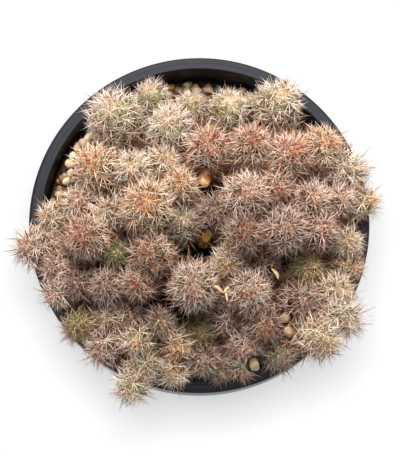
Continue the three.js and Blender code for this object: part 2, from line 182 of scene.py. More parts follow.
# Heads whose spines are shorter or longer than the others', as a share.
SPINE_REACH = {2: 0.75, 4: 0.85, 5: 0.75, 14: 1.3, 27: 0.7, 57: 0.7, 60: 1.3, 64: 1.45, 66: 0.6}

OLD_SPINE = "#80503f"    # what a stout spine turns to with age
PICTURE_MIDDLE = (0.28, -1.73, 0)    # what the camera looks at, from the rim's middle, in millimetres

FLESH_SHARE = 0.88       # the green body's radius as a share of the outer radius
BRANCH_AT = 0.42         # how far up its parent's stem an offset starts
STEM_RISE = 0.5          # how much of its height a stem climbs before it arches outward
ROOT_DEPTH = 4           # how far a stem stands in the soil, in millimetres
BASE_SPREAD = 0.8        # where a stem leaves the soil, as a share of its head's reach
BASE_LIMIT = 41.5        # and the furthest from the middle that it does, in millimetres
STEM_OUTLINE = [(0, 0.45), (0.32, 0.7), (0.68, 0.94), (1, 1)]    # share of the way, share of the radius
TOP_OUTLINE = (0.64, 0.77)    # a ring of the round top: its height and radius, as shares of the radius
SKIN_SHARE = 0.95        # the solids stand for skin and short spines together, so the skin lies inside them

# The pot's and the bed's own sizes, in millimetres.
SEAT_GAP = 0.3           # clearance between pieces that touch
POT_HEIGHT = POT_HIGH.z / MM
RIM_RADIUS = POT_HIGH.x / MM
RIM_INNER = RIM_RADIUS - 3.6
WALL = 1.2
FLOOR = 1.6
BASE_RADIUS = 43
COLLAR_Z = POT_HEIGHT - 14
DRAIN_HOLES = 6
DRAIN_RADIUS = 4
DRAIN_CIRCLE = 27
SOIL_Z = SOIL_HIGH.z / MM
GRAVEL_Z = POT_HEIGHT - 12.5
GRAVEL_INNER = 45
BED_Z = GRAVEL_Z + 3.2   # the highest that the solid gravel reaches
GRAVEL_DENSITY = 4e5     # the most stones to a square metre, before the spacing thins them out
HEAP_TURN = 155          # the middle of the heap of stones on the left, and its breadth, in degrees
HEAP_BREADTH = 22
WALL_SLOPE = (RIM_INNER - (BASE_RADIUS - WALL)) / (POT_HEIGHT - FLOOR)


def wall_radius(z):
    """Inner radius of the pot at a height, in millimetres."""
    return BASE_RADIUS - WALL + WALL_SLOPE * (z - FLOOR)


# ---------- what a user would change ----------


def length(name, description, size):
    """A length that a user can change, with its default in millimetres."""
    return FloatProperty(name=name, description=description, default=size * MM, unit="LENGTH")


class PotSettings(bpy.types.PropertyGroup):
    sides: IntProperty(name="Sides", description="Steps round the pot", default=200, min=48)
    edge: length("Edge Rounding", "Radius of the rim's outer edge", 0.7)
    slope: length("Rim Fall", "How far the rim's flat top falls outward", 0.6)
    lip: length("Inner Lip", "How far the rim reaches in over the wall", 0.9)
    ledge: length("Inner Ledge", "Width of the step inside the rim", 0.35)


class BedSettings(bpy.types.PropertyGroup):
    stone: length("Stone Size", "Mean width of a gravel stone", 3.8)
    spacing: length("Stone Spacing", "Least distance between stones of one layer", 2.3)
    heap: length("Heap Height", "Extra depth of the stones on the left", 4.5)
    crumb: length("Soil Crumb", "Height of the lumps in the soil", 0.9)
    seed: IntProperty(name="Seed", description="Draw of the stones' places and shapes", default=8)


class PlantSettings(bpy.types.PropertyGroup):
    grid: length("Skin Step", "Distance between vertices of the skin", 0.72)
    wart: length("Wart Height", "How far the warts stand out", 2.0)
    spacing: length("Areole Spacing", "Distance between areoles, before a head's size is added", 2.5)
    spacing_growth: FloatProperty(
        name="Spacing Growth", description="Extra spacing for each unit of a head's radius", default=0.24)
    belt: FloatProperty(
        name="Spiny Belt", description="Depth of the spiny belt under the dome, in head radii", default=3.5)
    seed: IntProperty(name="Seed", description="Draw of every head's small differences", default=21)


class SpineSettings(bpy.types.PropertyGroup):
    radials: FloatProperty(name="Radial Spines", description="Fine spines round one areole", default=17.0)
    radial_length: length("Radial Length", "Length of a fine spine", 7.0)
    radial_width: length("Radial Width", "Radius of a fine spine at its foot", 0.175)
    centrals: FloatProperty(
        name="Old Centrals", description="Stout spines in the middle of an old areole", default=0.8)
    central_length: length("Central Length", "Length of a stout spine", 7.4)
    central_width: length("Central Width", "Radius of a stout spine at its foot", 0.26)
    wool: length("Areole Wool", "Radius of the felt pad under the spines", 0.55)
    clearance: length("Clearance", "Room kept round fruit, petals and loose stones", 0.9)


class StageSettings(bpy.types.PropertyGroup):
    elevation: FloatProperty(
        name="Camera Elevation", description="Camera height above the horizon",
        default=math.radians(80), subtype="ANGLE")
    distance: length("Camera Distance", "From the camera to the rim's middle", 1200)
    view_height: length("View Height", "Height of the picture at the rim", 160.8)
    key_power: FloatProperty(
        name="Key Power", description="Small lamp that draws the spines", default=10.0, unit="POWER")
    softbox_power: FloatProperty(
        name="Softbox Power", description="Large lamp behind the pot", default=16.5, unit="POWER")
    floor_power: FloatProperty(
        name="Floor Lamp Power", description="Lamp that lights the floor alone", default=10.6, unit="POWER")
    sky: FloatProperty(name="Sky Strength", description="Even white light from all sides", default=0.36)
    glow: FloatProperty(name="Floor Glow", description="Light that the floor gives off itself", default=0.46)


# ---------- small helpers ----------


def linear(hex_colour):
    """An sRGB hex value as a linear colour with alpha."""
    values = [int(hex_colour[i:i + 2], 16) / 255 for i in (1, 3, 5)]
    return (*[v / 12.92 if v <= 0.04045 else ((v + 0.055) / 1.055) ** 2.4 for v in values], 1.0)


def fill_inputs(tree, node, inputs):
    """Fills or links a node's inputs in use, given by name or by number; a list links all its parts."""
    sockets = [socket for socket in node.inputs if socket.enabled]
    for key, value in inputs.items():
        socket = sockets[key] if isinstance(key, int) else next(s for s in sockets if s.name == key)
        for part in value if isinstance(value, list) else [value]:
            if isinstance(part, bpy.types.NodeSocket):
                tree.links.new(part, socket)
            else:
                socket.default_value = part


def add_node(tree, kind, *inputs, out=None, **settings):
    """Adds a node, sets it up and fills or links its inputs, given in order, or by name in a dictionary.

    Returns the output of this name, or else the first one in use.
    """
    families = ("Shader",) if tree.type == "SHADER" else ("Geometry", "Function", "Shader")
    kinds = [f"{family}Node{kind}" for family in families]
    node = tree.nodes.new(next(name for name in kinds if hasattr(bpy.types, name)))
    for name, value in settings.items():
        setattr(node, name, value)
    for number, value in enumerate(inputs):
        fill_inputs(tree, node, value if isinstance(value, dict) else {number: value})
    return node.outputs[out] if out else next((s for s in node.outputs if s.enabled), None)


def new_tree(name, inputs):
    """A geometry node tree with these inputs, each given by its default or by its kind.

    Returns it with a function that adds nodes to it, its inputs and its output.
    """
    tree = bpy.data.node_groups.new(name, "GeometryNodeTree")
    for label, default in inputs.items():
        kind = default if isinstance(default, str) else {int: "Int", float: "Float"}[type(default)]
        socket = tree.interface.new_socket(label, in_out="INPUT", socket_type="NodeSocket" + kind)
        if kind != default:
            socket.default_value = default
    tree.interface.new_socket("Geometry", in_out="OUTPUT", socket_type="NodeSocketGeometry")
    given, result = tree.nodes.new("NodeGroupInput").outputs, tree.nodes.new("NodeGroupOutput").inputs[0]
    return tree, partial(add_node, tree), given, result


def grow(piece, tree, **values):
    """Runs a node tree on a piece and keeps the result as its plain mesh."""
    modifier = piece.modifiers.new(tree.name, "NODES")
    modifier.node_group = tree
    for item in tree.interface.items_tree:
        key = item.name.lower().replace(" ", "_")
        if item.in_out == "INPUT" and key in values:
            modifier[item.identifier] = values[key]
    depsgraph = bpy.context.evaluated_depsgraph_get()
    grown = bpy.data.meshes.new_from_object(
        piece.evaluated_get(depsgraph), preserve_all_data_layers=True, depsgraph=depsgraph)
    piece.modifiers.remove(modifier)
    plain = piece.data
    piece.data = grown
    bpy.data.meshes.remove(plain)
    return piece


def new_piece(name, places, faces, material=None):
    """A smooth mesh object at the origin, from vertex places in metres."""
    mesh = bpy.data.meshes.new(name)
    mesh.from_pydata(np.asarray(places).tolist(), [], faces)
    if material:
        mesh.materials.append(material)
    mesh.polygons.foreach_set("use_smooth", [True] * len(mesh.polygons))
    piece = bpy.data.objects.new(name, mesh)
    bpy.context.scene.collection.objects.link(piece)
    return piece


def write_attribute(mesh, name, values):
    """Stores a number, a direction or a colour for each vertex of a mesh."""
    values = np.ascontiguousarray(values, np.float32)
    kinds = {1: ("FLOAT", "value"), 3: ("FLOAT_VECTOR", "vector"), 4: ("FLOAT_COLOR", "color")}
    kind, part = kinds[values[0].size]
    mesh.attributes.new(name, kind, "POINT").data.foreach_set(part, values.ravel())


def hand_over(piece, slot, *nodes):
    """Gives a finished piece to the frame, where it stands for these solids."""
    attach(piece, "root")
    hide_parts(*nodes)


def solid_room(node):
    """The middle of a solid's box and half its size, in metres."""
    low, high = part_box(node)
    return np.array((low + high) / 2), np.array((high - low) / 2)


def lumps(places, size, seed):
    """Smooth noise from -1 to 1 at each place, with lumps of this size, all in the same unit."""
    shift = Vector((seed * 3.7, seed * 1.3, seed * 5.1))    # each seed reads another part of the noise
    return np.array([noise.noise(Vector(p) / size + shift) for p in places])


def spun(places, turn):
    """Places turned about the upright axis."""
    c, s = math.cos(turn), math.sin(turn)
    return places @ np.array([(c, s, 0), (-s, c, 0), (0, 0, 1)])


def merged(parts):
    """Several parts' places and faces as one."""
    faces, count = [], 0
    for places, own in parts:
        faces += [tuple(k + count for k in face) for face in own]
        count += len(places)
    return np.concatenate([places for places, _ in parts]), faces


def steps_round(sides):
    """Each step of a ring with the one after it."""
    return [(j, (j + 1) % sides) for j in range(sides)]


def ring_faces(rows, sides, first=0):
    """Quads between rows of rings whose vertices start at first."""
    return [
        (low + j, low + k, low + sides + k, low + sides + j)
        for low in range(first, first + (rows - 1) * sides, sides) for j, k in steps_round(sides)]


def closed_faces(rows, sides):
    """Faces of rows of rings that are closed by one vertex before them and one after."""
    faces = ring_faces(rows, sides, 1)
    last = 1 + (rows - 1) * sides
    for j, k in steps_round(sides):
        faces += [(0, 1 + k, 1 + j), (last + j, last + k, last + sides)]
    return faces


def turned(outline, sides):
    """Places and faces turned from an outline of (radius, height) that starts and ends on the axis."""
    angles = np.arange(sides) * TURN / sides
    circle = np.stack([np.cos(angles), np.sin(angles)], axis=1)
    places = [(0, 0, outline[0][1])]
    for radius, z in outline[1:-1]:
        places += [(radius * x, radius * y, z) for x, y in circle]
    places.append((0, 0, outline[-1][1]))
    return np.array(places, float), closed_faces(len(outline) - 2, sides)


def arc(centre, radius, start, end, steps=5):
    """Points of a round corner, from one angle to another in degrees."""
    return [(centre[0] + radius * math.cos(a), centre[1] + radius * math.sin(a))
            for a in np.radians(np.linspace(start, end, steps + 1))]


# ---------- materials ----------


def new_material(name):
    """A material, and a function that adds nodes to it."""
    material = bpy.data.materials.new(name)
    material.use_nodes = True
    return material, partial(add_node, material.node_tree)


def finish_material(material, inputs):
    """Fills or links inputs of a material's Principled shader, and returns the material."""
    fill_inputs(material.node_tree, material.node_tree.nodes["Principled BSDF"], inputs)
    return material


def pot_plastic():
    """Injection-moulded black polypropylene: satin, near black, with pale dust and handling scuffs."""
    material, add = new_material("Black polypropylene, satin")
    place = add("TexCoord", out="Object")
    parts = add("SeparateXYZ", place).node.outputs
    turn = add("Math", parts["Y"], parts["X"], operation="ARCTAN2")
    flat = add("VectorMath", place, (1, 1, 0), operation="MULTIPLY")
    reach = add("VectorMath", flat, operation="LENGTH", out="Value")
    # Scuffs run round the pot: 0.6 mm wide and about 30 mm long.
    polar = add("CombineXYZ", reach, turn, parts["Z"])
    stretched = add("VectorMath", polar, (1600, 2.2, 1600), operation="MULTIPLY")
    worn = add("MapRange", add("TexNoise", stretched, 1.0, 3.0), 0.52, 0.78, 0.0, 0.55)
    # Dust grains of about 0.3 mm, in loose patches of 15 mm.
    speck = add("MapRange", add("TexVoronoi", place, 1100.0), 0.16, 0.05, 0.0, 0.8)
    dusty = add("MapRange", add("TexNoise", place, 65.0, 2.0), 0.55, 0.72)
    dust = add("Math", speck, dusty, operation="MULTIPLY")
    film = add("Mix", worn, linear("#101016"), linear("#33353f"), data_type="RGBA")
    # The mould's fine grain of 0.4 mm.
    grain = add("TexNoise", place, 2500.0, 1.0)
    return finish_material(material, {
        "Base Color": add("Mix", dust, film, linear("#a79f94"), data_type="RGBA"),
        "Roughness": add("MapRange", worn, 0.0, 0.55, 0.42, 0.6),
        "Normal": add("Bump", {"Height": grain, "Strength": 0.12, "Distance": 0.05 * MM}),
        "IOR": 1.49, "Specular IOR Level": 0.62, "Specular Tint": linear("#eaedff"),
    })


def potting_soil():
    """Peat and bark compost, dry on top: very dark brown, matt and crumbly."""
    material, add = new_material("Peat potting soil, dry")
    # Crumbs of about 1 mm.
    crumb = add("TexNoise", add("TexCoord", out="Object"), 900.0, 4.0)
    tones = add("ValToRGB", crumb)
    for stop, at, colour in zip(tones.node.color_ramp.elements, (0.35, 0.72), ("#15100c", "#4d3a2a")):
        stop.position, stop.color = at, linear(colour)
    return finish_material(material, {
        "Base Color": tones, "Roughness": 0.95,
        "Normal": add("Bump", {"Height": crumb, "Strength": 0.9, "Distance": 0.5 * MM}),
    })


def river_gravel():
    """Washed river gravel: each stone has its own tone from off-white to tan, gold and dark grey."""
    material, add = new_material("Washed river gravel")
    place = add("TexCoord", out="Object")
    tones = add("ValToRGB", add("Attribute", attribute_name="stone_draw", out="Fac"))
    ramp = tones.node.color_ramp
    ramp.interpolation = "CONSTANT"
    steps = (
        "#cdb997", "#a8896a", "#c9ab86", "#8a6a4c", "#d8cbb2", "#c2924c", "#b59a7c", "#5a5652", "#c7b08e")
    for i, step in enumerate(steps):
        # A new ramp has two stops of its own.
        stop = ramp.elements[i] if i < 2 else ramp.elements.new(1)
        stop.position, stop.color = i / len(steps), linear(step)
    # Mineral grains of about 0.7 mm and clouds of about 3 mm.
    grain, cloud = add("TexNoise", place, 1500.0, 3.0), add("TexNoise", place, 300.0, 2.0)
    light = add("MapRange", add("Math", grain, cloud, operation="ADD"), 0.7, 1.3, 0.72, 1.18)
    return finish_material(material, {
        "Base Color": add("HueSaturation", {"Color": tones, "Value": light}), "Roughness": 0.75,
        "Normal": add("Bump", {"Height": grain, "Strength": 0.5, "Distance": 0.15 * MM}),
    })


def cactus_skin():
    """Living skin with a thin wax bloom: green on the warts, dark brown between them, partly dry scales and
    partly painted shade, corky low down.
    """
    material, add = new_material("Cactus skin, waxy")
    place = add("TexCoord", out="Object")
    tint = add("Attribute", attribute_name="skin_tint")
    wart, cork = (add("Attribute", attribute_name=name, out="Fac") for name in ("wart", "cork"))
    # Blotches of about 2.5 mm.
    blotch = add("TexNoise", place, 420.0, 3.0)
    raised = add("MapRange", wart, 0.05, 0.6)
    # Between the warts the skin goes dark brown: partly dry scales at the spine feet, partly painted shade in
    # the valleys.
    warts_and_shaded_valleys = add("Mix", raised, linear("#33241a"), tint, data_type="RGBA")
    blotchy = add("MapRange", blotch, 0.3, 0.7, 0.75, 1.2)
    green = add("HueSaturation", {"Color": warts_and_shaded_valleys, "Value": blotchy})
    bark = add("Mix", blotch, linear("#2e2318"), linear("#7a6243"), data_type="RGBA")
    colour = add("Mix", cork, green, bark, data_type="RGBA")
    # Stomata and wax flecks are under 0.1 mm, so they are drawn at 0.25 mm to show at all.
    fleck = add("MapRange", add("TexVoronoi", place, 1900.0), 0.22, 0.1, 0.0, 0.35)
    return finish_material(material, {
        "Base Color": add("Mix", fleck, colour, linear("#c9cba0"), data_type="RGBA"),
        "Normal": add("Bump", {"Height": blotch, "Strength": 0.35, "Distance": 0.2 * MM}),
        "Roughness": 0.5, "IOR": 1.42,
    })


def spine_horn(name, tint_name, tip, tip_from, tip_share, browned):
    """Dry horny spine, faintly glossy: warm at the foot, darker at the tip, and on some brown all along."""
    material, add = new_material(name)
    tint, foot = (add("Attribute", attribute_name=layer) for layer in (tint_name, "central_tint"))
    along, shade, youth = (
        add("Attribute", attribute_name=layer, out="Fac") for layer in ("along", "shade", "youth"))
    warm_reach = add("MapRange", youth, 0.3, 1.0, 0.16, 0.5)
    warmth = add("MapRange", along, 0.0, warm_reach, 0.9, 0.0)
    own = add("HueSaturation", {"Color": tint, "Value": add("MapRange", shade, 0.0, 1.0, 0.7, 1.2)})
    warm = add("Mix", warmth, own, foot, data_type="RGBA")
    high = add("MapRange", along, tip_from, 1.0, 0.0, tip_share)
    tipped = add("Mix", high, warm, linear(tip), data_type="RGBA")
    # The share of spines that have turned brown.
    old = add("MapRange", shade, 1.1 * browned, 0.9 * browned)
    return finish_material(material, {
        "Base Color": add("Mix", old, tipped, linear("#8c4a38"), data_type="RGBA"),
        "Roughness": 0.42, "IOR": 1.54,
    })


def areole_felt():
    """Short dense wool on an areole: matt and tan, paler on the fibres' ends."""
    material, add = new_material("Areole wool")
    # Tufts of fibre, 0.3 mm thick.
    fibre = add("TexNoise", add("TexCoord", out="Object"), 3200.0, 2.0)
    return finish_material(material, {
        "Base Color": add("Mix", fibre, linear("#bd8f60"), linear("#f4dfc0"), data_type="RGBA"),
        "Roughness": 0.95, "Sheen Weight": 0.4,
    })


def dry_husk(name, dark, pale, roughness, size):
    """Dried plant matter: thin, matt and unevenly browned, with wrinkles of this size in millimetres.

    Its stains are 2.5 times as large as its wrinkles.
    """
    material, add = new_material(name)
    place = add("TexCoord", out="Object")
    tones = add("ValToRGB", add("TexNoise", place, 0.4 / (size * MM), 4.0))
    for stop, at, colour in zip(tones.node.color_ramp.elements, (0.36, 0.6), (dark, pale)):
        stop.position, stop.color = at, linear(colour)
    crease = add("TexNoise", place, 1 / (size * MM), 3.0)
    return finish_material(material, {
        "Base Color": tones, "Roughness": roughness,
        "Normal": add("Bump", {"Height": crease, "Strength": 0.6, "Distance": 0.25 * MM}),
    })


# ---------- pot, soil and gravel ----------


def pot_outline(pot):
    """The pot's outline in millimetres: base, wall, hanging collar, flat rim, inner wall and floor."""
    edge, ledge, slope, lip = pot.edge / MM, pot.ledge / MM, pot.slope / MM, pot.lip / MM
    under, ledge_z = POT_HEIGHT - WALL, POT_HEIGHT - 5.5
    edge_z = POT_HEIGHT - slope - edge
    return [
        # Underside, foot and the wall inside the collar.
        (0, 0.5), (BASE_RADIUS - 6, 0.5), (BASE_RADIUS - 5.4, 0),
        *arc((BASE_RADIUS - 0.8, 0.8), 0.8, -90, 0),
        (wall_radius(COLLAR_Z) + WALL, COLLAR_Z),
        *arc((wall_radius(under) + WALL + 0.6, under - 0.6), 0.6, 180, 90, 3),
        # The collar, down its inside and up its outside.
        *arc((RIM_RADIUS - WALL - 0.6, under - 0.6), 0.6, 90, 0, 3),
        (RIM_RADIUS - 1.9, COLLAR_Z + 0.4),
        *arc((RIM_RADIUS - 1.2, COLLAR_Z + 0.5), 0.5, 180, 360, 6),
        (RIM_RADIUS, edge_z), *arc((RIM_RADIUS - edge, edge_z), edge, 0, 76)[1:],
        # The flat top, with a faint crease where the moulding shrank.
        (RIM_RADIUS - 2.0, POT_HEIGHT - 0.4 * slope), (RIM_RADIUS - 2.3, POT_HEIGHT - 0.5 * slope),
        (RIM_RADIUS - 2.6, POT_HEIGHT - 0.4 * slope),
        # Inner lip, ledge, inner wall and floor.
        *arc((RIM_INNER - lip + 0.6, POT_HEIGHT - 0.6), 0.6, 83, 180, 7),
        (RIM_INNER - lip, POT_HEIGHT - 2),
        (wall_radius(ledge_z), ledge_z), (wall_radius(ledge_z) - ledge, ledge_z - 0.3),
        (wall_radius(COLLAR_Z - 6) - 0.1, COLLAR_Z - 6),
        *arc((BASE_RADIUS - WALL - 1.2, FLOOR + 1.2), 1.2, 0, -90, 4),
        (0, FLOOR),
    ]


class CACTUS_OT_pot(bpy.types.Operator):
    """Builds the nursery pot with its hanging collar and drain holes"""

    bl_idname = "cactus.build_pot"
    bl_label = "Pot"

    def execute(self, context):
        pot = context.scene.clump_pot
        places, faces = turned(pot_outline(pot), pot.sides)
        piece = new_piece("nursery_pot", places * MM, faces, pot_plastic())
        radius, circle = DRAIN_RADIUS * MM, DRAIN_CIRCLE * MM
        for i in range(DRAIN_HOLES):
            angle = i * TURN / DRAIN_HOLES
            cutter = new_piece("drain_hole", [], [])
            shape = bmesh.new()
            bmesh.ops.create_cone(
                shape, cap_ends=True, segments=24, radius1=radius, radius2=radius, depth=8 * MM)
            bmesh.ops.translate(
                shape, verts=shape.verts, vec=(circle * math.cos(angle), circle * math.sin(angle), 0))
            shape.to_mesh(cutter.data)
            shape.free()
            cut = piece.modifiers.new("Drain hole", "BOOLEAN")
            cut.object, cut.operation, cut.solver = cutter, "DIFFERENCE", "EXACT"
        bpy.context.view_layer.objects.active = piece
        for cut in list(piece.modifiers):
            cutter = cut.object
            bpy.ops.object.modifier_apply(modifier=cut.name)
            bpy.data.objects.remove(cutter)
        hand_over(piece, "pot_plastic", "pot")
        return {"FINISHED"}


class CACTUS_OT_soil(bpy.types.Operator):
    """Fills the pot with crumbly soil"""

    bl_idname = "cactus.build_soil"
    bl_label = "Soil"

    def execute(self, context):
        low, edge = SOIL_LOW.z / MM, wall_radius(SOIL_Z) - SEAT_GAP
        step, innermost, sides = 1.2, 0.8, 120
        outline = [(0, low), (wall_radius(low) - SEAT_GAP, low), (edge, SOIL_Z)]
        outline += [(r, SOIL_Z) for r in np.arange(edge - step, innermost, -step)] + [(0, SOIL_Z)]
        places, faces = turned(outline, sides)
        top = places[:, 2] > SOIL_Z - SEAT_GAP
        top &= np.hypot(places[:, 0], places[:, 1]) < wall_radius(SOIL_Z) - 1
        # Lumps of 5 mm with crumbs of 1.8 mm on them.
        crumb = context.scene.clump_bed.crumb / MM
        height = crumb * (lumps(places[top], 5, 1) + 0.6 * lumps(places[top], 1.8, 2))
        places[top, 2] += height - 0.3 * crumb
        piece = new_piece("soil_fill", places * MM, faces, potting_soil())
        hand_over(piece, "soil", "potting_soil")
        return {"FINISHED"}


def pebble(seed, rounds, facet=0.62):
    """Places and faces of one water-worn stone of about unit radius.

    A ball is worn flat on some sides, from a radius between facet and softest on, and then made
    lumpy and squashed to proportions of its own.
    """
    flats, softest, wear = 9, 0.86, 0.85
    draw = np.random.default_rng(seed)
    shape = bmesh.new()
    bmesh.ops.create_icosphere(shape, subdivisions=rounds, radius=1)
    places = np.array([v.co for v in shape.verts])
    faces = [tuple(v.index for v in f.verts) for f in shape.faces]
    shape.free()
    for _ in range(flats):
        way = draw.normal(size=3)
        way /= np.linalg.norm(way)
        beyond = np.maximum(places @ way - draw.uniform(facet, softest), 0)
        places -= wear * np.outer(beyond, way)
    places *= 1 + 0.06 * lumps(places, 0.6, seed)[:, None]
    places *= draw.uniform((0.85, 0.8, 0.6), (1.15, 1.0, 0.85))
    return places, faces


def gravel_tree(bed, material):
    """A node tree that heaps stones on the upward faces of a gravel bed, in three layers."""
    tree, add, given, result = new_tree("Gravel", {
        "Bed": "Geometry", "Stones": "Collection", "Stone Size": bed.stone, "Spacing": bed.spacing,
        "Inner Limit": GRAVEL_INNER * MM, "Outer Limit": (wall_radius(GRAVEL_Z) - SEAT_GAP) * MM,
        "Seed": bed.seed,
    })
    upward = add("SeparateXYZ", add("InputNormal"), out="Z")
    is_top = add("Compare", upward, 0.7, operation="GREATER_THAN")
    variants = add(
        "CollectionInfo", {"Collection": given["Stones"], "Separate Children": True, "Reset Children": True})
    flat = add("VectorMath", add("InputPosition"), (1, 1, 0), operation="MULTIPLY")
    reach = add("VectorMath", flat, operation="LENGTH", out="Value")
    # Stones stay most of their radius away from the bed's edges.
    half = add("Math", given["Stone Size"], 0.36, operation="MULTIPLY")
    inmost = add("Math", given["Inner Limit"], half, operation="ADD")
    outmost = add("Math", given["Outer Limit"], half, operation="SUBTRACT")
    past = add("Compare", reach, inmost, operation="GREATER_THAN")
    short = add("Compare", reach, outmost, operation="LESS_THAN")
    inside = add("BooleanMath", past, short, operation="AND")
    parts = [given["Bed"]]
    # Each layer's height and spacing as shares, and what it adds to the seed.
    for height, looser, shift in ((0.1, 1.0, 0), (0.5, 1.1, 50), (0.95, 1.35, 100)):
        seed = add("IntegerMath", given["Seed"], shift, operation="ADD")
        apart = add("Math", given["Spacing"], looser, operation="MULTIPLY")
        points = add("DistributePointsOnFaces", {
            "Mesh": given["Bed"], "Selection": is_top, "Distance Min": apart,
            "Density Max": GRAVEL_DENSITY, "Seed": seed}, distribute_method="POISSON")
        lift = add("Math", given["Stone Size"], height, operation="MULTIPLY")
        raised = add("SetPosition", points, {"Offset": add("CombineXYZ", {"Z": lift})})
        turn = add("RandomValue", {"Max": (0.5, 0.5, TURN), "Seed": seed}, data_type="FLOAT_VECTOR")
        # A stone's radius is about half the stone size.
        size = add("RandomValue", {"Min": 0.38, "Max": 0.56, "Seed": seed})
        scale = add("Math", size, given["Stone Size"], operation="MULTIPLY")
        placed = add("InstanceOnPoints", {
            "Points": raised, "Selection": inside, "Instance": variants, "Pick Instance": True,
            "Rotation": turn, "Scale": scale})
        drawn = add("RandomValue", {"Seed": seed})
        toned = add(
            "StoreNamedAttribute", placed, True, "stone_draw", drawn, data_type="FLOAT", domain="INSTANCE")
        parts.append(add("SetMaterial", add("RealizeInstances", toned), {"Material": material}))
    tree.links.new(add("JoinGeometry", parts), result)
    return tree


class CACTUS_OT_gravel(bpy.types.Operator):
    """Lays the ring of gravel inside the rim"""

    bl_idname = "cactus.build_gravel"
    bl_label = "Gravel"

    def execute(self, context):
        bed = context.scene.clump_bed
        outer, low = wall_radius(GRAVEL_Z) - SEAT_GAP, GRAVEL_LOW.z / MM
        sides, rows_across, shapes = 160, 9, 6
        section = [(GRAVEL_INNER, low), (outer - 0.6, low)]
        section += [(r, GRAVEL_Z - 0.3) for r in np.linspace(outer, GRAVEL_INNER + 1, rows_across)]
        angles = np.arange(sides) * TURN / sides
        places = np.array([(r * math.cos(a), r * math.sin(a), z) for r, z in section for a in angles])
        last = (len(section) - 1) * sides
        faces = ring_faces(len(section), sides)
        faces += [(last + j, last + k, k, j) for j, k in steps_round(sides)]
        top = places[:, 2] > GRAVEL_Z - 1
        places[top, 2] += 0.5 * lumps(places[top], 2.5, 4)
        # The stones are heaped up against the wall on the left.
        turn = np.degrees(np.arctan2(places[top, 1], places[top, 0]))
        places[top, 2] += bed.heap / MM * np.exp(-((turn - HEAP_TURN) / HEAP_BREADTH) ** 2)
        # The bed seen between the stones takes the dark soil's colour, as painted shade deep in the gravel.
        piece = new_piece("gravel_ring", places * MM, faces, bpy.data.materials["Peat potting soil, dry"])
        variants = bpy.data.collections.new("gravel_stones")
        for seed in range(shapes):
            stone = new_piece(f"gravel_stone_{seed}", *pebble(seed + 1, 2))
            context.scene.collection.objects.unlink(stone)
            variants.objects.link(stone)
        grow(piece, gravel_tree(bed, river_gravel()), stones=variants)
        for stone in list(variants.objects):
            bpy.data.objects.remove(stone)
        bpy.data.collections.remove(variants)
        hand_over(piece, "gravel", "gravel_dressing")
        return {"FINISHED"}


# ---------- litter that lies on the plant ----------

# Finished pieces that the spines keep clear of, each with the open height over it in millimetres.
LITTER = []


class CACTUS_OT_stones(bpy.types.Operator):
    """Lays the three loose gravel stones on the plant"""

    bl_idname = "cactus.build_loose_stones"
    bl_label = "Loose Stones"

    def execute(self, context):
        draws = (0.05, 0.25, 0.95)      # their places in the range of stone tones
        for number, draw in enumerate(draws, 1):
            middle, half = solid_room(f"loose_stone_{number}")
            places, faces = pebble(number + 20, 3, 0.5)
            places *= 1.12 * half / np.abs(places).max(axis=0)
            material = bpy.data.materials["Washed river gravel"]
            piece = new_piece(f"fallen_stone_{number}", places + middle, faces, material)
            write_attribute(piece.data, "stone_draw", np.full(len(places), draw))
            hand_over(piece, "gravel", f"loose_stone_{number}")
            LITTER.append((piece, 4.5))
        return {"FINISHED"}


class CACTUS_OT_fruit(bpy.types.Operator):
    """Sets the wrinkled, dried yellow fruit between the heads"""

    bl_idname = "cactus.build_fruit"
    bl_label = "Dried Fruit"

    def execute(self, context):
        middle, half = solid_room("dried_fruit")
        rows, sides = 26, 32
        outline = [(math.sin(a), -math.cos(a)) for a in np.linspace(0, math.pi, rows)]
        outline[0], outline[-1] = (0, -1), (0, 1)
        places, faces = turned(outline, sides)
        turns = np.arctan2(places[:, 1], places[:, 0])
        # Shrunken skin: lengthwise wrinkles, finer cross creases, and a narrower stalk end.
        wrinkles = 0.07 * np.sin(5 * turns + 2.5 * places[:, 2]) * (1 - places[:, 2] ** 2)
        wrinkles += 0.09 * lumps(places, 0.5, 7)
        narrow = 1 - 0.16 * (places[:, 2] + 1) / 2
        places[:, :2] *= (narrow * (1 + wrinkles))[:, None]
        # It lies on its side, with the stalk end to the front.
        places = places[:, [0, 2, 1]] * (1, 1, -1)
        places *= half / np.abs(places).max(axis=0)
        husk = dry_husk("Dried fruit skin", "#9a5c26", "#eec684", 0.5, 1.3)
        piece = new_piece("yellow_fruit", places + middle, faces, husk)
        hand_over(piece, "dried_fruit", "dried_fruit")
        LITTER.append((piece, 3))
        return {"FINISHED"}


def strip(length, width, rise, twist, seed, steps=14, across=4):
    """Places and faces of a thin curled strip with narrow ends and two skins, in millimetres."""
    draw = np.random.default_rng(seed)
    u, v = np.meshgrid(np.linspace(-1, 1, steps), np.linspace(-1, 1, across), indexing="ij")
    breadth = 0.5 * width * (1 - 0.7 * np.abs(u) ** 2.5)
    x = 0.5 * length * u
    roll = twist * u + draw.uniform(-0.2, 0.2)
    y = breadth * v * np.cos(roll) + 0.06 * length * np.sin(2.2 * u + draw.uniform(0, 3))
    z = rise * (1 - u ** 2) + breadth * v * np.sin(roll) + 0.35 * breadth * v ** 2
    half_thick = 0.09
    skins = [np.stack([x, y, z + side * half_thick], axis=-1).reshape(-1, 3) for side in (1, -1)]
    count = steps * across
    # Every quad of both skins, but none from the end of one row to the start of the next.
    faces = []
    for a in range(count - across):
        if (a + 1) % across:
            b = a + across
            faces += [(a, b, b + 1, a + 1), (count + a + 1, count + b + 1, count + b, count + a)]
    # The edge runs once round the top skin, and is joined to the same way round the bottom one.
    edge = list(range(across)) + [i * across + across - 1 for i in range(1, steps)]
    edge += [(steps - 1) * across + j for j in range(across - 2, -1, -1)]
    edge += [i * across for i in range(steps - 2, 0, -1)]
    faces += [(a, b, count + b, count + a) for a, b in zip(edge, edge[1:] + edge[:1])]
    return np.concatenate(skins), faces


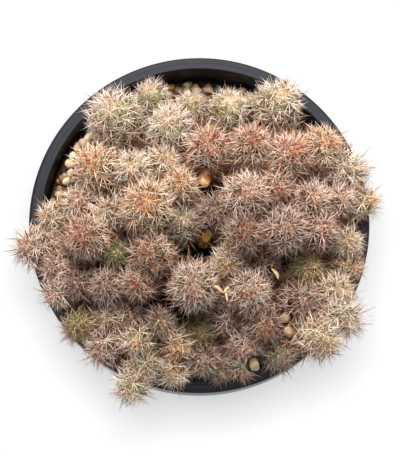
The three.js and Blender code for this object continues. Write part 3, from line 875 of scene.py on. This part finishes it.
class CACTUS_OT_petals(bpy.types.Operator):
    """Drops two papery petals on the heads"""

    bl_idname = "cactus.build_petals"
    bl_label = "Shed Petals"

    def execute(self, context):
        paper = dry_husk("Shed petal, papery", "#b48d5a", "#e3cda4", 0.7, 2.2)
        # Each strip's length, width, rise, turn and the place of its middle; the first petal is forked.
        strips = {
            1: [(4.6, 1.0, 0.5, -0.55, -1.6, 0.6), (2.9, 0.8, 0.4, 1.05, 0.9, 0.4),
                (3.6, 0.7, 0.3, -1.2, 1.0, -2.1)],
            2: [(4.8, 1.1, 0.7, -1.1, 0, 0)],
        }
        for number, rows in strips.items():
            parts = []
            for length, width, rise, turn, x, y in rows:
                places, faces = strip(length, width, rise, 0.5, number)
                parts.append((spun(places, turn) + (x, y, 0), faces))
            places, faces = merged(parts)
            middle = solid_room(f"shed_petal_{number}")[0]
            places = (places - (places.max(axis=0) + places.min(axis=0)) / 2) * MM + middle
            piece = new_piece(f"fallen_petal_{number}", places, faces, paper)
            hand_over(piece, "dried_petal", f"shed_petal_{number}")
            LITTER.append((piece, 3))
        return {"FINISHED"}


class CACTUS_OT_flower(bpy.types.Operator):
    """Sets the crumpled brown remains of a flower between the heads"""

    bl_idname = "cactus.build_flower"
    bl_label = "Dried Flower"

    def execute(self, context):
        middle, half = solid_room("dried_flower")
        draw = np.random.default_rng(4)
        # Small shrivelled petals stand out at all angles from a core.
        petals, core_share = 26, 0.6
        core, core_faces = pebble(31, 3)
        parts = [(core * half / MM * core_share, core_faces)]
        for i in range(petals):
            petal, faces = strip(draw.uniform(3.0, 3.8), draw.uniform(1.3, 2.0), 0.7, 0.9, i, 9, 3)
            petal[:, 0] += 1.5
            turn, tilt = draw.uniform(0, TURN), draw.uniform(-0.5, 1.2)
            c, s = math.cos(tilt), math.sin(tilt)
            parts.append((spun(petal @ np.array([(c, 0, s), (0, 1, 0), (-s, 0, c)]), turn), faces))
        places, faces = merged(parts)
        places -= (places.max(axis=0) + places.min(axis=0)) / 2
        places *= half * 1.1 / np.abs(places).max(axis=0)
        # One broad petal lies folded over the crumple, still golden.
        wedge, wedge_faces = strip(5.0, 3.2, 0.9, 0.35, 5)
        wedge = spun(wedge, 1.15) * MM + half * (0.55, 0.15, 0.72)
        golden = np.repeat([0, 1], [len(faces), len(wedge_faces)])
        places, faces = merged([(places, faces), (wedge, wedge_faces)])
        husk = dry_husk("Dried flower, crumpled", "#5a4120", "#a07c3c", 0.8, 1.2)
        piece = new_piece("brown_flower", places + middle, faces, husk)
        piece.data.materials.append(dry_husk("Dried flower petal, golden", "#a86c1c", "#dca544", 0.7, 3.0))
        piece.data.polygons.foreach_set("material_index", golden.astype(np.int32))
        hand_over(piece, "dried_flower", "dried_flower")
        LITTER.append((piece, 1.5))
        return {"FINISHED"}


# ---------- the heads: stems, skin and areoles ----------


def at_share(head, share):
    """The point and the direction of a stem at a share of its way up, in millimetres."""
    a, b, c = head.root, head.bend, head.middle
    point = (1 - share) ** 2 * a + 2 * share * (1 - share) * b + share ** 2 * c
    way = (1 - share) * (b - a) + share * (c - b)
    return point, way / np.linalg.norm(way)


def root_at(head, place):
    """Starts a head's stem at a place, from which it climbs before it arches outward."""
    head.root = place
    head.bend = head.root + (0, 0, STEM_RISE * (head.middle[2] - head.root[2]))


def plan_heads():
    """Every head's stem line, from the soil or its parent's stem to the middle of its round top."""
    heads = {}
    for number, x, y, height, reach, tone, *parent in HEADS:
        head = SimpleNamespace(number=number, tone=tone, parent=parent[0] if parent else None)
        head.node = head.parent or number
        head.middle = np.array((x, y, POT_HEIGHT + height), float)
        spread = min(BASE_SPREAD, BASE_LIMIT / math.hypot(x, y))
        root_at(head, np.array((x * spread, y * spread, SOIL_Z - ROOT_DEPTH), float))
        head.radius = FLESH_SHARE * reach
        head.reach = reach
        heads[number] = head
    for head in heads.values():
        if head.parent:
            root_at(head, at_share(heads[head.parent], BRANCH_AT)[0])
        head.lean = at_share(head, 1)[1]
        line = [at_share(head, i / 10)[0] for i in range(11)]
        head.line = np.array(line + [head.middle + head.lean * TOP_OUTLINE[0] * head.radius])
    return list(heads.values())


def pot_clearance(p):
    """How far a point is from the rim and wall, and from the gravel bed inside them."""
    reach = math.hypot(p[0], p[1])
    across = max(wall_radius(min(p[2], POT_HEIGHT)) - reach, reach - RIM_RADIUS, 0)
    rim = math.hypot(across, max(p[2] - POT_HEIGHT, 0))
    if reach > RIM_INNER:
        return rim
    return min(rim, math.hypot(max(GRAVEL_INNER - reach, 0), max(p[2] - BED_Z, 0)))


def room_at(head, p, wanted, heads):
    """A ring's radius: its own outline, narrowed where the pot or a neighbour leaves less room."""
    room = min(wanted, pot_clearance(p) - SEAT_GAP)
    for other in heads:
        if other.node != head.node:
            share = head.radius / (head.radius + other.radius)
            room = min(room, np.linalg.norm(other.line - p, axis=1).min() * share - 0.8 * SEAT_GAP)
    return max(room, 0.8)


def size_heads(heads):
    """Gives every head its ring radii: those of the solids, drawn in by the depth of the short spines."""
    up, share = TOP_OUTLINE
    for head in heads:
        head.radii = [
            room_at(head, at_share(head, t)[0], full * head.radius, heads) for t, full in STEM_OUTLINE]
        head.girth = head.radii[-1]
        dome = head.middle + head.lean * up * head.girth
        head.dome_share = room_at(head, dome, share * head.girth, heads) / (share * head.girth)
        # The dome's top comes down by less than its sides come in.
        head.middle = head.middle + head.lean * (1 - SKIN_SHARE) * 0.6 * head.girth
        head.radii = [SKIN_SHARE * radius for radius in head.radii]
        head.girth *= SKIN_SHARE


def side_ways(axes):
    """Two directions across each axis."""
    across = np.cross((0.0, 1.0, 0.0), axes)
    across /= np.linalg.norm(across, axis=-1, keepdims=True)
    return across, np.cross(across, axes)


def head_rows(head, step, belt):
    """Rows up a head's skin: centre, axis, radius, tilt of the skin and skin length from the top."""
    # The bare stem has coarse rows, and the spiny belt and the dome have fine ones.
    coarse_step, arched = 2.2, 1.08
    stem_length = np.linalg.norm(head.middle - head.root) * arched
    fine_from = max(0.02, 1 - (belt * head.girth + 1.0) / stem_length)
    coarse = np.linspace(0, fine_from, max(3, int(fine_from * stem_length / coarse_step)), endpoint=False)
    fine = np.linspace(fine_from, 1, max(4, int((1 - fine_from) * stem_length / step)), endpoint=False)
    shares = np.concatenate([coarse, fine])
    angles = np.linspace(0, math.pi / 2, max(5, int(head.girth * math.pi / 2 / step)))[:-1]
    barrel = [at_share(head, t) for t in shares]
    radii = np.interp(shares, [t for t, _ in STEM_OUTLINE], head.radii)
    climbed = np.linalg.norm(np.diff([c for c, _ in barrel], axis=0), axis=1)
    heights = np.concatenate([[0], np.cumsum(climbed)])
    tilt = np.concatenate([-np.arctan(np.gradient(radii, heights)), angles])
    narrowed = 1 - (1 - head.dome_share) * np.clip(np.sin(angles) / TOP_OUTLINE[0], 0, 1)
    radii = np.concatenate([radii, head.girth * np.cos(angles) * narrowed])
    dome = [head.middle + head.lean * head.girth * math.sin(a) for a in angles]
    centres = np.array([c for c, _ in barrel] + dome)
    axes = np.array([a for _, a in barrel] + [head.lean] * len(angles))
    apex = head.middle + head.lean * head.girth
    skin = np.hypot(np.linalg.norm(np.diff(centres, axis=0), axis=1), np.diff(radii))
    skin = np.append(skin, np.hypot(np.linalg.norm(apex - centres[-1]), radii[-1]))
    depth = np.cumsum(skin[::-1])[::-1]
    return SimpleNamespace(centres=centres, axes=axes, radii=radii, tilt=tilt, depth=depth, apex=apex)


def on_rows(rows, depth, turn):
    """Place, outward normal and upward way on the skin, at a skin length from the top and a turn."""
    order = np.argsort(rows.depth)

    def between(values):
        return np.stack([np.interp(depth, rows.depth[order], column[order]) for column in values.T], axis=-1)

    centre, axis = between(rows.centres), between(rows.axes)
    radius, tilt = between(rows.radii[:, None]), between(rows.tilt[:, None])
    radius = radius * np.clip(depth / rows.depth[-1], 0, 1)[:, None]
    across, along = side_ways(axis)
    outward = np.cos(turn)[:, None] * along + np.sin(turn)[:, None] * across
    normal = np.cos(tilt) * outward + np.sin(tilt) * axis
    upward = -np.sin(tilt) * outward + np.cos(tilt) * axis
    return centre + radius * outward, normal, upward


def areole_spots(head, rows, plant):
    """Skin lengths and turns of the areoles, in the spiral rows of such a plant, crowded at the top."""
    spacing = plant.spacing / MM + plant.spacing_growth * head.reach
    crowded = 1.3 * head.girth      # skin length from the top over which areoles stand closer
    lowest = head.girth * (math.pi / 2 + plant.belt)
    samples = 400
    depth = np.linspace(0, min(lowest, rows.depth[0] * 0.98), samples)
    order = np.argsort(rows.depth)
    radius = np.interp(depth, rows.depth[order], rows.radii[order]) * np.clip(depth / rows.depth[-1], 0, 1)
    # Skin to one areole, in square millimetres, as in rows that stand in triangles.
    cell = 0.87 * spacing ** 2 * np.interp(depth, [0, crowded], [0.16, 1])
    number = np.concatenate([[0], np.cumsum(np.diff(depth) * (TURN * radius / cell)[1:])])
    wanted = np.arange(int(number[-1])) + 0.4
    spots = np.interp(wanted, number, depth)
    # How far an areole strays from its even place, less near the top.
    draw = np.random.default_rng(head.number)
    slack = 0.16 * spacing * np.clip(spots / crowded, 0.3, 1)
    around = wanted * GOLDEN_TURN + draw.uniform(-1, 1, len(spots)) * slack / np.maximum(
        np.interp(spots, depth, radius), 1)
    return np.maximum(spots + draw.uniform(-1, 1, len(spots)) * slack, 0.2), around, spacing


def head_skin(head, plant):
    """The warty skin of one head with its stem, and its areoles, in millimetres."""
    rows = head_rows(head, plant.grid / MM, plant.belt)
    depths, turns, spacing = areole_spots(head, rows, plant)
    spots, facing, upward = on_rows(rows, depths, turns)
    sides = max(24, int(TURN * head.girth / (plant.grid / MM)))
    angles = np.arange(sides) * TURN / sides
    across, along = side_ways(rows.axes)
    outward = np.cos(angles)[None, :, None] * along[:, None] + np.sin(angles)[None, :, None] * across[:, None]
    places = rows.centres[:, None] + rows.radii[:, None, None] * outward
    tilt = rows.tilt[:, None, None]
    normals = np.cos(tilt) * outward + np.sin(tilt) * rows.axes[:, None]
    bottom = rows.centres[0] - rows.axes[0] * 0.2
    places = np.concatenate([[bottom], places.reshape(-1, 3), [rows.apex]])
    normals = np.concatenate([[-rows.axes[0]], normals.reshape(-1, 3), [head.lean]])
    depth = np.concatenate([[rows.depth[0]], np.repeat(rows.depth, sides), [0]])
    # A round wart stands under each areole, and the skin is smooth below the lowest of them.
    foot = 0.66 * spacing
    away = np.linalg.norm(places[:, None] - spots[None], axis=2).min(axis=1)
    wart = np.clip(1 - (away / foot) ** 2, 0, 1)
    spiny = np.clip((depths[-1] + 2 - depth) / 3, 0, 1)
    relief = min(plant.wart / MM, 0.22 * head.girth)
    drop = relief * (1 - wart) * spiny + 0.5 * relief * (1 - spiny)
    places = places - normals * np.minimum(drop, 0.4 * head.girth)[:, None]
    # Where the skin is cork, where it is a tan crown, and which areoles are low or young, all by how
    # far down the skin they are, in radii of the head.
    low = np.clip((depths / head.girth - 1.2) / 1.4, 0, 1)
    return SimpleNamespace(
        places=places, faces=closed_faces(len(rows.radii), sides), wart=wart * spiny,
        cork=np.clip((depth - 2.1 * head.girth) / (1.6 * head.girth), 0, 1),
        crown=np.clip(1.2 - depth / (0.6 * head.girth), 0, 1),
        spots=spots - 0.15 * facing, facing=facing, upward=upward, low=low,
        youth=np.clip(1 - depths / (1.15 * head.girth), 0, 1),
        size=(0.7 + 0.03 * head.reach) * SPINE_REACH.get(head.number, 1) * (1 + 0.15 * low))


# ---------- the heads: spines and wool ----------


def whorl_tree():
    """A node group that grows a whorl of curved, tapered spines from each areole."""
    tree, add, given, result = new_tree("Spine whorl", {
        "Areoles": "Geometry", "Keep Clear": "Geometry", "Clearance": 1.0 * MM,
        "Young Count": 16.0, "Old Count": 16.0, "Length": 5 * MM, "Young Length": 0.6, "Width": 0.2 * MM,
        "Young Tilt": 0.6, "Old Tilt": 1.2, "Tilt Spread": 0.2, "Bend": 0.06, "Downward Growth": 0.0,
        "Seed": 1, "Material": "Material",
    })
    youth, size = (add("InputNamedAttribute", name, data_type="FLOAT") for name in ("youth", "size"))
    facing, upward = (
        add("InputNamedAttribute", name, data_type="FLOAT_VECTOR") for name in ("facing", "upward"))

    # How many spines each areole has, and where its whorl starts.
    mean = add("Mix", youth, given["Old Count"], given["Young Count"])
    spread = add("RandomValue", {"Min": -0.6, "Max": 0.6, "Seed": given["Seed"]})
    whole = add("Math", add("Math", mean, spread, operation="ADD"), operation="ROUND")
    start = add("RandomValue", {"Max": TURN, "Seed": given["Seed"]})
    marked = given["Areoles"]
    for name, value in (("whorl_count", whole), ("whorl_start", start)):
        marked = add("StoreNamedAttribute", marked, True, name, value, data_type="FLOAT")
    copies = add("DuplicateElements", marked, True, whole, domain="POINT")
    index = copies.node.outputs["Duplicate Index"]
    whorl_count, whorl_start = (
        add("InputNamedAttribute", name, data_type="FLOAT") for name in ("whorl_count", "whorl_start"))

    # Each spine's turn round the areole, up to a third of a step off, and its tilt from the skin's normal.
    draw = add(
        "RandomValue", {"Min": (-1, -1, -1), "Max": (1, 1, 1), "Seed": given["Seed"]},
        data_type="FLOAT_VECTOR")
    draws = add("SeparateXYZ", draw).node.outputs
    step = add("Math", draws["X"], 0.33, index, operation="MULTIPLY_ADD")
    share = add("Math", step, whorl_count, operation="DIVIDE")
    turn = add("Math", share, TURN, whorl_start, operation="MULTIPLY_ADD")
    mean_tilt = add("Mix", youth, given["Old Tilt"], given["Young Tilt"])
    tilt = add("Math", draws["Y"], given["Tilt Spread"], mean_tilt, operation="MULTIPLY_ADD")
    local = add("EulerToRotation", add("CombineXYZ", {"Y": tilt, "Z": turn}))
    base = add("AxesToRotation", facing, upward, primary_axis="Z", secondary_axis="X")
    rotation = add("RotateRotation", base, local, rotation_space="LOCAL")

    # Its length: by age, by chance, shorter where it points up the head, and by the head's own share.
    by_age = add("Mix", youth, 1.0, given["Young Length"])
    by_chance = add("Math", draws["Z"], 0.3, 0.96, operation="MULTIPLY_ADD")
    climb = add("Math", add("Math", turn, operation="COSINE"), given["Downward Growth"], operation="MULTIPLY")
    by_way = add("Math", 1.0, climb, operation="SUBTRACT")
    scale = by_age
    for factor in (by_chance, by_way, size):
        scale = add("Math", scale, factor, operation="MULTIPLY")

    # A spine is left out where its tip or its middle would be in the pot's wall or close to the litter.
    reach = add("Math", scale, given["Length"], operation="MULTIPLY")
    way = add("RotateVector", add("CombineXYZ", {"Z": reach}), rotation)
    place = add("InputPosition")
    half_way = add("VectorMath", way, (0.55,) * 3, operation="MULTIPLY")
    blocked = False
    for part in (way, half_way):
        spot = add("VectorMath", place, part, operation="ADD")
        gap = add(
            "Proximity", {"Geometry": given["Keep Clear"], "Sample Position": spot},
            target_element="POINTS", out="Distance")
        near = add("Compare", gap, given["Clearance"], operation="LESS_THAN")
        flat = add("VectorMath", spot, (1, 1, 0), operation="MULTIPLY")
        from_axis = add("VectorMath", flat, operation="LENGTH", out="Value")
        height = add("SeparateXYZ", spot, out="Z")
        inner = add("Math", height, WALL_SLOPE, wall_radius(0) * MM, operation="MULTIPLY_ADD")
        walled = True
        for value, limit, test in (
                (from_axis, inner, "GREATER_THAN"), (from_axis, RIM_RADIUS * MM, "LESS_THAN"),
                (height, POT_HEIGHT * MM, "LESS_THAN")):
            walled = add("BooleanMath", walled, add("Compare", value, limit, operation=test), operation="AND")
        for fault in (near, walled):
            blocked = add("BooleanMath", blocked, fault, operation="OR")
    clear = add("BooleanMath", blocked, operation="NOT")

    # One spine: three sides, two lengths, bent towards the skin, its foot sunk into the wart.
    cone = add("MeshCone", {
        "Vertices": 3, "Side Segments": 2, "Radius Top": 0.0, "Radius Bottom": given["Width"],
        "Depth": given["Length"]}, fill_type="NGON")
    own = add("InputPosition")
    along = add("Math", add("SeparateXYZ", own, out="Z"), given["Length"], operation="DIVIDE")
    ruled = add("StoreNamedAttribute", cone, True, "along", along, data_type="FLOAT")
    aside = add("Math", along, 2.0, operation="POWER")
    for factor in (given["Bend"], given["Length"]):
        aside = add("Math", aside, factor, operation="MULTIPLY")
    full = add("MapRange", along, 0.0, 0.5, 1.0, 1.25)
    swell = add("CombineXYZ", full, full, 1.0)
    spine = add("SetPosition", ruled, {
        "Position": add("VectorMath", own, swell, operation="MULTIPLY"),
        "Offset": add("CombineXYZ", {"X": aside, "Z": -0.2 * MM})})

    placed = add("InstanceOnPoints", {
        "Points": copies, "Selection": clear, "Instance": spine, "Rotation": rotation, "Scale": scale})
    shade = add("RandomValue", {"Seed": given["Seed"]})
    shaded = add("StoreNamedAttribute", placed, True, "shade", shade, data_type="FLOAT", domain="INSTANCE")
    smooth = add("SetShadeSmooth", add("RealizeInstances", shaded))
    tree.links.new(add("SetMaterial", smooth, {"Material": given["Material"]}), result)
    return tree


def head_tree(spines, seed):
    """A node tree that dresses a head's skin with fine spines, stout spines and areole wool."""
    tree, add, given, result = new_tree("Spiny head", {
        "Skin": "Geometry", "Keep Clear": "Object", "Clearance": spines.clearance,
        "Radial Count": spines.radials, "Radial Length": spines.radial_length,
        "Radial Width": spines.radial_width, "Central Count": 3.0, "Old Central Count": spines.centrals,
        "Central Length": spines.central_length, "Central Width": spines.central_width,
        "Wool Radius": spines.wool, "Seed": seed,
    })
    youth, size, is_areole = (
        add("InputNamedAttribute", name, data_type="FLOAT") for name in ("youth", "size", "areole"))
    areoles = add("SeparateGeometry", given["Skin"], is_areole)
    skin = areoles.node.outputs["Inverted"]
    whorl = partial(add, "Group", {
        "Areoles": areoles, "Keep Clear": add("ObjectInfo", given["Keep Clear"], out="Geometry"),
        "Clearance": given["Clearance"],
    }, node_tree=whorl_tree())
    radials = whorl({
        "Young Count": given["Radial Count"], "Old Count": given["Radial Count"],
        "Length": given["Radial Length"], "Young Length": 0.72, "Width": given["Radial Width"],
        "Young Tilt": 0.76, "Old Tilt": 1.25, "Tilt Spread": 0.38, "Bend": 0.04, "Downward Growth": 0.15,
        "Seed": given["Seed"],
        "Material": spine_horn("Fine spine, cream horn", "radial_tint", "#b08a74", 0.75, 0.3, 0.12),
    })
    centrals = whorl({
        "Young Count": given["Central Count"], "Old Count": given["Old Central Count"],
        "Length": given["Central Length"], "Young Length": 0.7, "Width": given["Central Width"],
        "Young Tilt": 0.45, "Old Tilt": 0.6, "Tilt Spread": 0.4, "Bend": 0.03,
        "Seed": add("IntegerMath", given["Seed"], 1000, operation="ADD"),
        "Material": spine_horn("Stout spine, red-brown horn", "central_tint", "#6b3a26", 0.5, 0.5, 0.25),
    })
    # Young areoles are woollier.
    fresh = add("Math", youth, 0.95, 0.8, operation="MULTIPLY_ADD")
    puff = add("Math", fresh, size, operation="MULTIPLY")
    tuft = add("MeshIcoSphere", given["Wool Radius"], 1)
    pads = add("InstanceOnPoints", {"Points": areoles, "Instance": tuft, "Scale": puff})
    wool = add("SetMaterial", add("RealizeInstances", pads), {"Material": areole_felt()})
    tree.links.new(add("JoinGeometry", [wool, centrals, radials, skin]), result)
    return tree


def clearings():
    """A scratch object of points on and just above the litter, which the spines keep clear of."""
    layer, open_way = 1.5, np.array((0, -0.2, 1.0))    # up, and a little to the front
    places = []
    for piece, height in LITTER:
        own = np.array([v.co for v in piece.data.vertices])
        places += [own + open_way * lift * MM for lift in np.arange(0, height + 0.1, layer)]
    return new_piece("clearings", np.concatenate(places), [])


class CACTUS_OT_heads(bpy.types.Operator):
    """Grows every head with its stem, warts, wool and spines"""

    bl_idname = "cactus.build_heads"
    bl_label = "Heads"

    def execute(self, context):
        plant, spines = context.scene.clump_plant, context.scene.clump_spines
        heads = plan_heads()
        size_heads(heads)
        skin_material = cactus_skin()
        clear = clearings()
        tree = head_tree(spines, plant.seed)
        draw = np.random.default_rng(plant.seed)
        for number in sorted({head.node for head in heads}):
            family = [head for head in heads if head.node == number]
            piece = self.bare_head(number, family, [head_skin(head, plant) for head in family],
                                   skin_material, draw)
            grow(piece, tree, keep_clear=clear, seed=plant.seed + 7 * number,
                 central_count=TONES[family[0].tone][3])
            hand_over(piece, "cactus", f"head_{number:02d}")
        bpy.data.objects.remove(clear)
        return {"FINISHED"}

    @staticmethod
    def bare_head(number, family, skins, material, draw):
        """A head and its offsets as one skin, with a loose vertex at each areole."""
        def own(name):
            return [getattr(skin, name) for skin in skins]

        flesh, faces = merged(list(zip(own("places"), own("faces"))))
        piece = new_piece(
            f"spiny_head_{number:02d}", np.concatenate([flesh, *own("spots")]) * MM, faces, material)
        mesh = piece.data
        blank, spots = np.zeros(len(flesh)), np.zeros(len(mesh.vertices) - len(flesh))
        write_attribute(mesh, "areole", np.append(blank, spots + 1))
        for name in ("wart", "cork"):
            write_attribute(mesh, name, np.concatenate([*own(name), spots]))
        for name in ("youth", "size"):
            write_attribute(mesh, name, np.concatenate([blank, *own(name)]))
        for name in ("facing", "upward"):
            write_attribute(mesh, name, np.concatenate([np.zeros((len(flesh), 3)), *own(name)]))
        tints = {}
        counts = [[len(values) for values in own(name)] for name in ("places", "spots")]
        for index, name in enumerate(("radial_tint", "central_tint", "skin_tint")):
            # Each head is up to 6% lighter or darker than its tone, and heads low in the clump are darker
            # still with painted shade.
            colours = [
                np.array(linear(TONES[head.tone][index])) * draw.uniform(0.94, 1.06)
                * DEEP_HEAD_SHADE.get(head.number, 1) for head in family]
            tints[name] = [np.repeat(colours, count, axis=0) for count in counts]
        crown, low, youth = (np.concatenate(own(name))[:, None] for name in ("crown", "low", "youth"))
        # The growing crown is as tan as its young spines.
        skin = tints["skin_tint"]
        skin[0] = skin[0] + crown * (0.7 * tints["central_tint"][0] - skin[0])
        # Fine spines go tan and darker low on the head: partly age, partly painted shade between the heads.
        tints["radial_tint"][1] *= 1 - low * (0.1, 0.22, 0.32, 0)
        # Stout spines are bright on the youngest areoles and turn dark red-brown with age.
        stout = tints["central_tint"]
        fresh = np.clip((youth - 0.3) / 0.3, 0, 1)
        aged = 0.25 * stout[1] + 0.75 * np.array(linear(OLD_SPINE))
        stout[1] = fresh * stout[1] + (1 - fresh) * aged
        for name, values in tints.items():
            write_attribute(mesh, name, np.concatenate(values))
        return piece


# ---------- stage ----------


def add_lamp(name, place, target, size, power, colour):
    """A soft square lamp that looks at a target; returns its object."""
    lamp = bpy.data.lights.new(name, "AREA")
    lamp.size, lamp.energy, lamp.color = size, power, linear(colour)[:3]
    item = bpy.data.objects.new(name, lamp)
    item.location = place
    item.rotation_euler = (Vector(target) - Vector(place)).to_track_quat("-Z", "Y").to_euler()
    bpy.context.scene.collection.objects.link(item)
    return item


def link_light(lamp, state, *items):
    """Lets a lamp light these objects alone, or all but these."""
    linked = bpy.data.collections.new(f"{lamp.name} light")
    for item in items:
        linked.objects.link(item)
    for entry in linked.collection_objects:
        entry.light_linking.link_state = state
    lamp.light_linking.receiver_collection = linked


class CACTUS_OT_stage(bpy.types.Operator):
    """Sets the white floor, the soft light and the camera"""

    bl_idname = "cactus.build_stage"
    bl_label = "Stage"

    def execute(self, context):
        stage = context.scene.clump_stage
        rim = Vector((0, 0, POT_HIGH.z))
        floor = self.lay_floor(stage.glow)
        key = add_lamp(
            "Key", place=(-0.06, 0.54, 0.8), target=rim, size=0.12, power=stage.key_power, colour="#fff3e4")
        softbox = add_lamp(
            "Softbox", place=(-0.02, 0.75, 1.25), target=rim, size=1.35, power=stage.softbox_power,
            colour="#fffaf4")
        floor_lamp = add_lamp(
            "Floor lamp", place=(0, -0.09, 1.6), target=(0, 0, 0), size=0.33, power=stage.floor_power,
            colour="#ffffff")
        # The floor has a lamp of its own nearly overhead, so that the shadow stays close to the pot.
        link_light(floor_lamp, "INCLUDE", floor)
        link_light(softbox, "EXCLUDE", floor)
        link_light(key, "EXCLUDE", floor, bpy.data.objects["nursery_pot"])
        world = bpy.data.worlds.new("White sky")
        context.scene.world = world
        world.use_nodes = True
        sky = {"Color": (1, 1, 1, 1), "Strength": stage.sky}
        fill_inputs(world.node_tree, world.node_tree.nodes["Background"], sky)
        context.scene.view_settings.view_transform = "Standard"
        self.set_camera(context, stage, rim)
        return {"FINISHED"}

    @staticmethod
    def lay_floor(glow):
        """A wide sheet of backlit white acrylic, matt, with a faint fibre of 2.5 mm in it."""
        sheet, add = new_material("Backlit white acrylic, matt")
        fibre = add("TexNoise", add("TexCoord", out="Object"), 400.0, 2.0)
        finish_material(sheet, {
            "Base Color": add("Mix", fibre, linear("#e9e9ea"), linear("#eeeeee"), data_type="RGBA"),
            "Roughness": 0.9, "Emission Color": (1, 1, 1, 1), "Emission Strength": glow,
        })
        half, sunk = 3.0, 0.1 * MM
        corners = [(-half, -half, -sunk), (half, -half, -sunk), (half, half, -sunk), (-half, half, -sunk)]
        floor = new_piece("studio_floor", corners, [(0, 1, 2, 3)], sheet)
        return floor

    @staticmethod
    def set_camera(context, stage, rim):
        """A camera whose picture's middle is at a point just in front of the rim's middle."""
        target = rim + Vector(PICTURE_MIDDLE) * MM
        back = Vector((0, -math.cos(stage.elevation), math.sin(stage.elevation)))
        lens = bpy.data.cameras.new("Camera")
        lens.sensor_width = 36
        lens.lens = lens.sensor_width * stage.distance / stage.view_height
        camera = bpy.data.objects.new("Camera", lens)
        camera.location = target + back * stage.distance
        camera.rotation_mode = "QUATERNION"
        camera.rotation_quaternion = (-back).to_track_quat("-Z", "Y")
        context.scene.collection.objects.link(camera)
        context.scene.camera = camera


class CACTUS_PT_clump(bpy.types.Panel):
    """Lists the pieces of the potted clump"""

    bl_label = "Potted Cactus Clump"
    bl_idname = "CACTUS_PT_clump"
    bl_space_type = "VIEW_3D"
    bl_region_type = "UI"
    bl_category = "Cactus"

    def draw(self, context):
        for operator in OPERATORS:
            self.layout.operator(operator.bl_idname)
        for name in SETTINGS:
            box = self.layout.box()
            group = getattr(context.scene, name)
            for key in group.__annotations__:
                box.prop(group, key)


OPERATORS = (
    CACTUS_OT_pot, CACTUS_OT_soil, CACTUS_OT_gravel, CACTUS_OT_stones, CACTUS_OT_fruit,
    CACTUS_OT_petals, CACTUS_OT_flower, CACTUS_OT_heads, CACTUS_OT_stage,
)
SETTINGS = {
    "clump_pot": PotSettings,
    "clump_bed": BedSettings,
    "clump_plant": PlantSettings,
    "clump_spines": SpineSettings,
    "clump_stage": StageSettings,
}


def register():
    for item in (*SETTINGS.values(), *OPERATORS, CACTUS_PT_clump):
        bpy.utils.register_class(item)
    for name, group in SETTINGS.items():
        setattr(bpy.types.Scene, name, PointerProperty(type=group))


def unregister():
    for name in SETTINGS:
        delattr(bpy.types.Scene, name)
    for item in (CACTUS_PT_clump, *reversed(OPERATORS), *SETTINGS.values()):
        bpy.utils.unregister_class(item)


def main():
    """Builds every piece in order."""
    register()
    for operator in OPERATORS:
        group, name = operator.bl_idname.split(".")
        getattr(getattr(bpy.ops, group), name)()


if __name__ == "__main__":
    main()
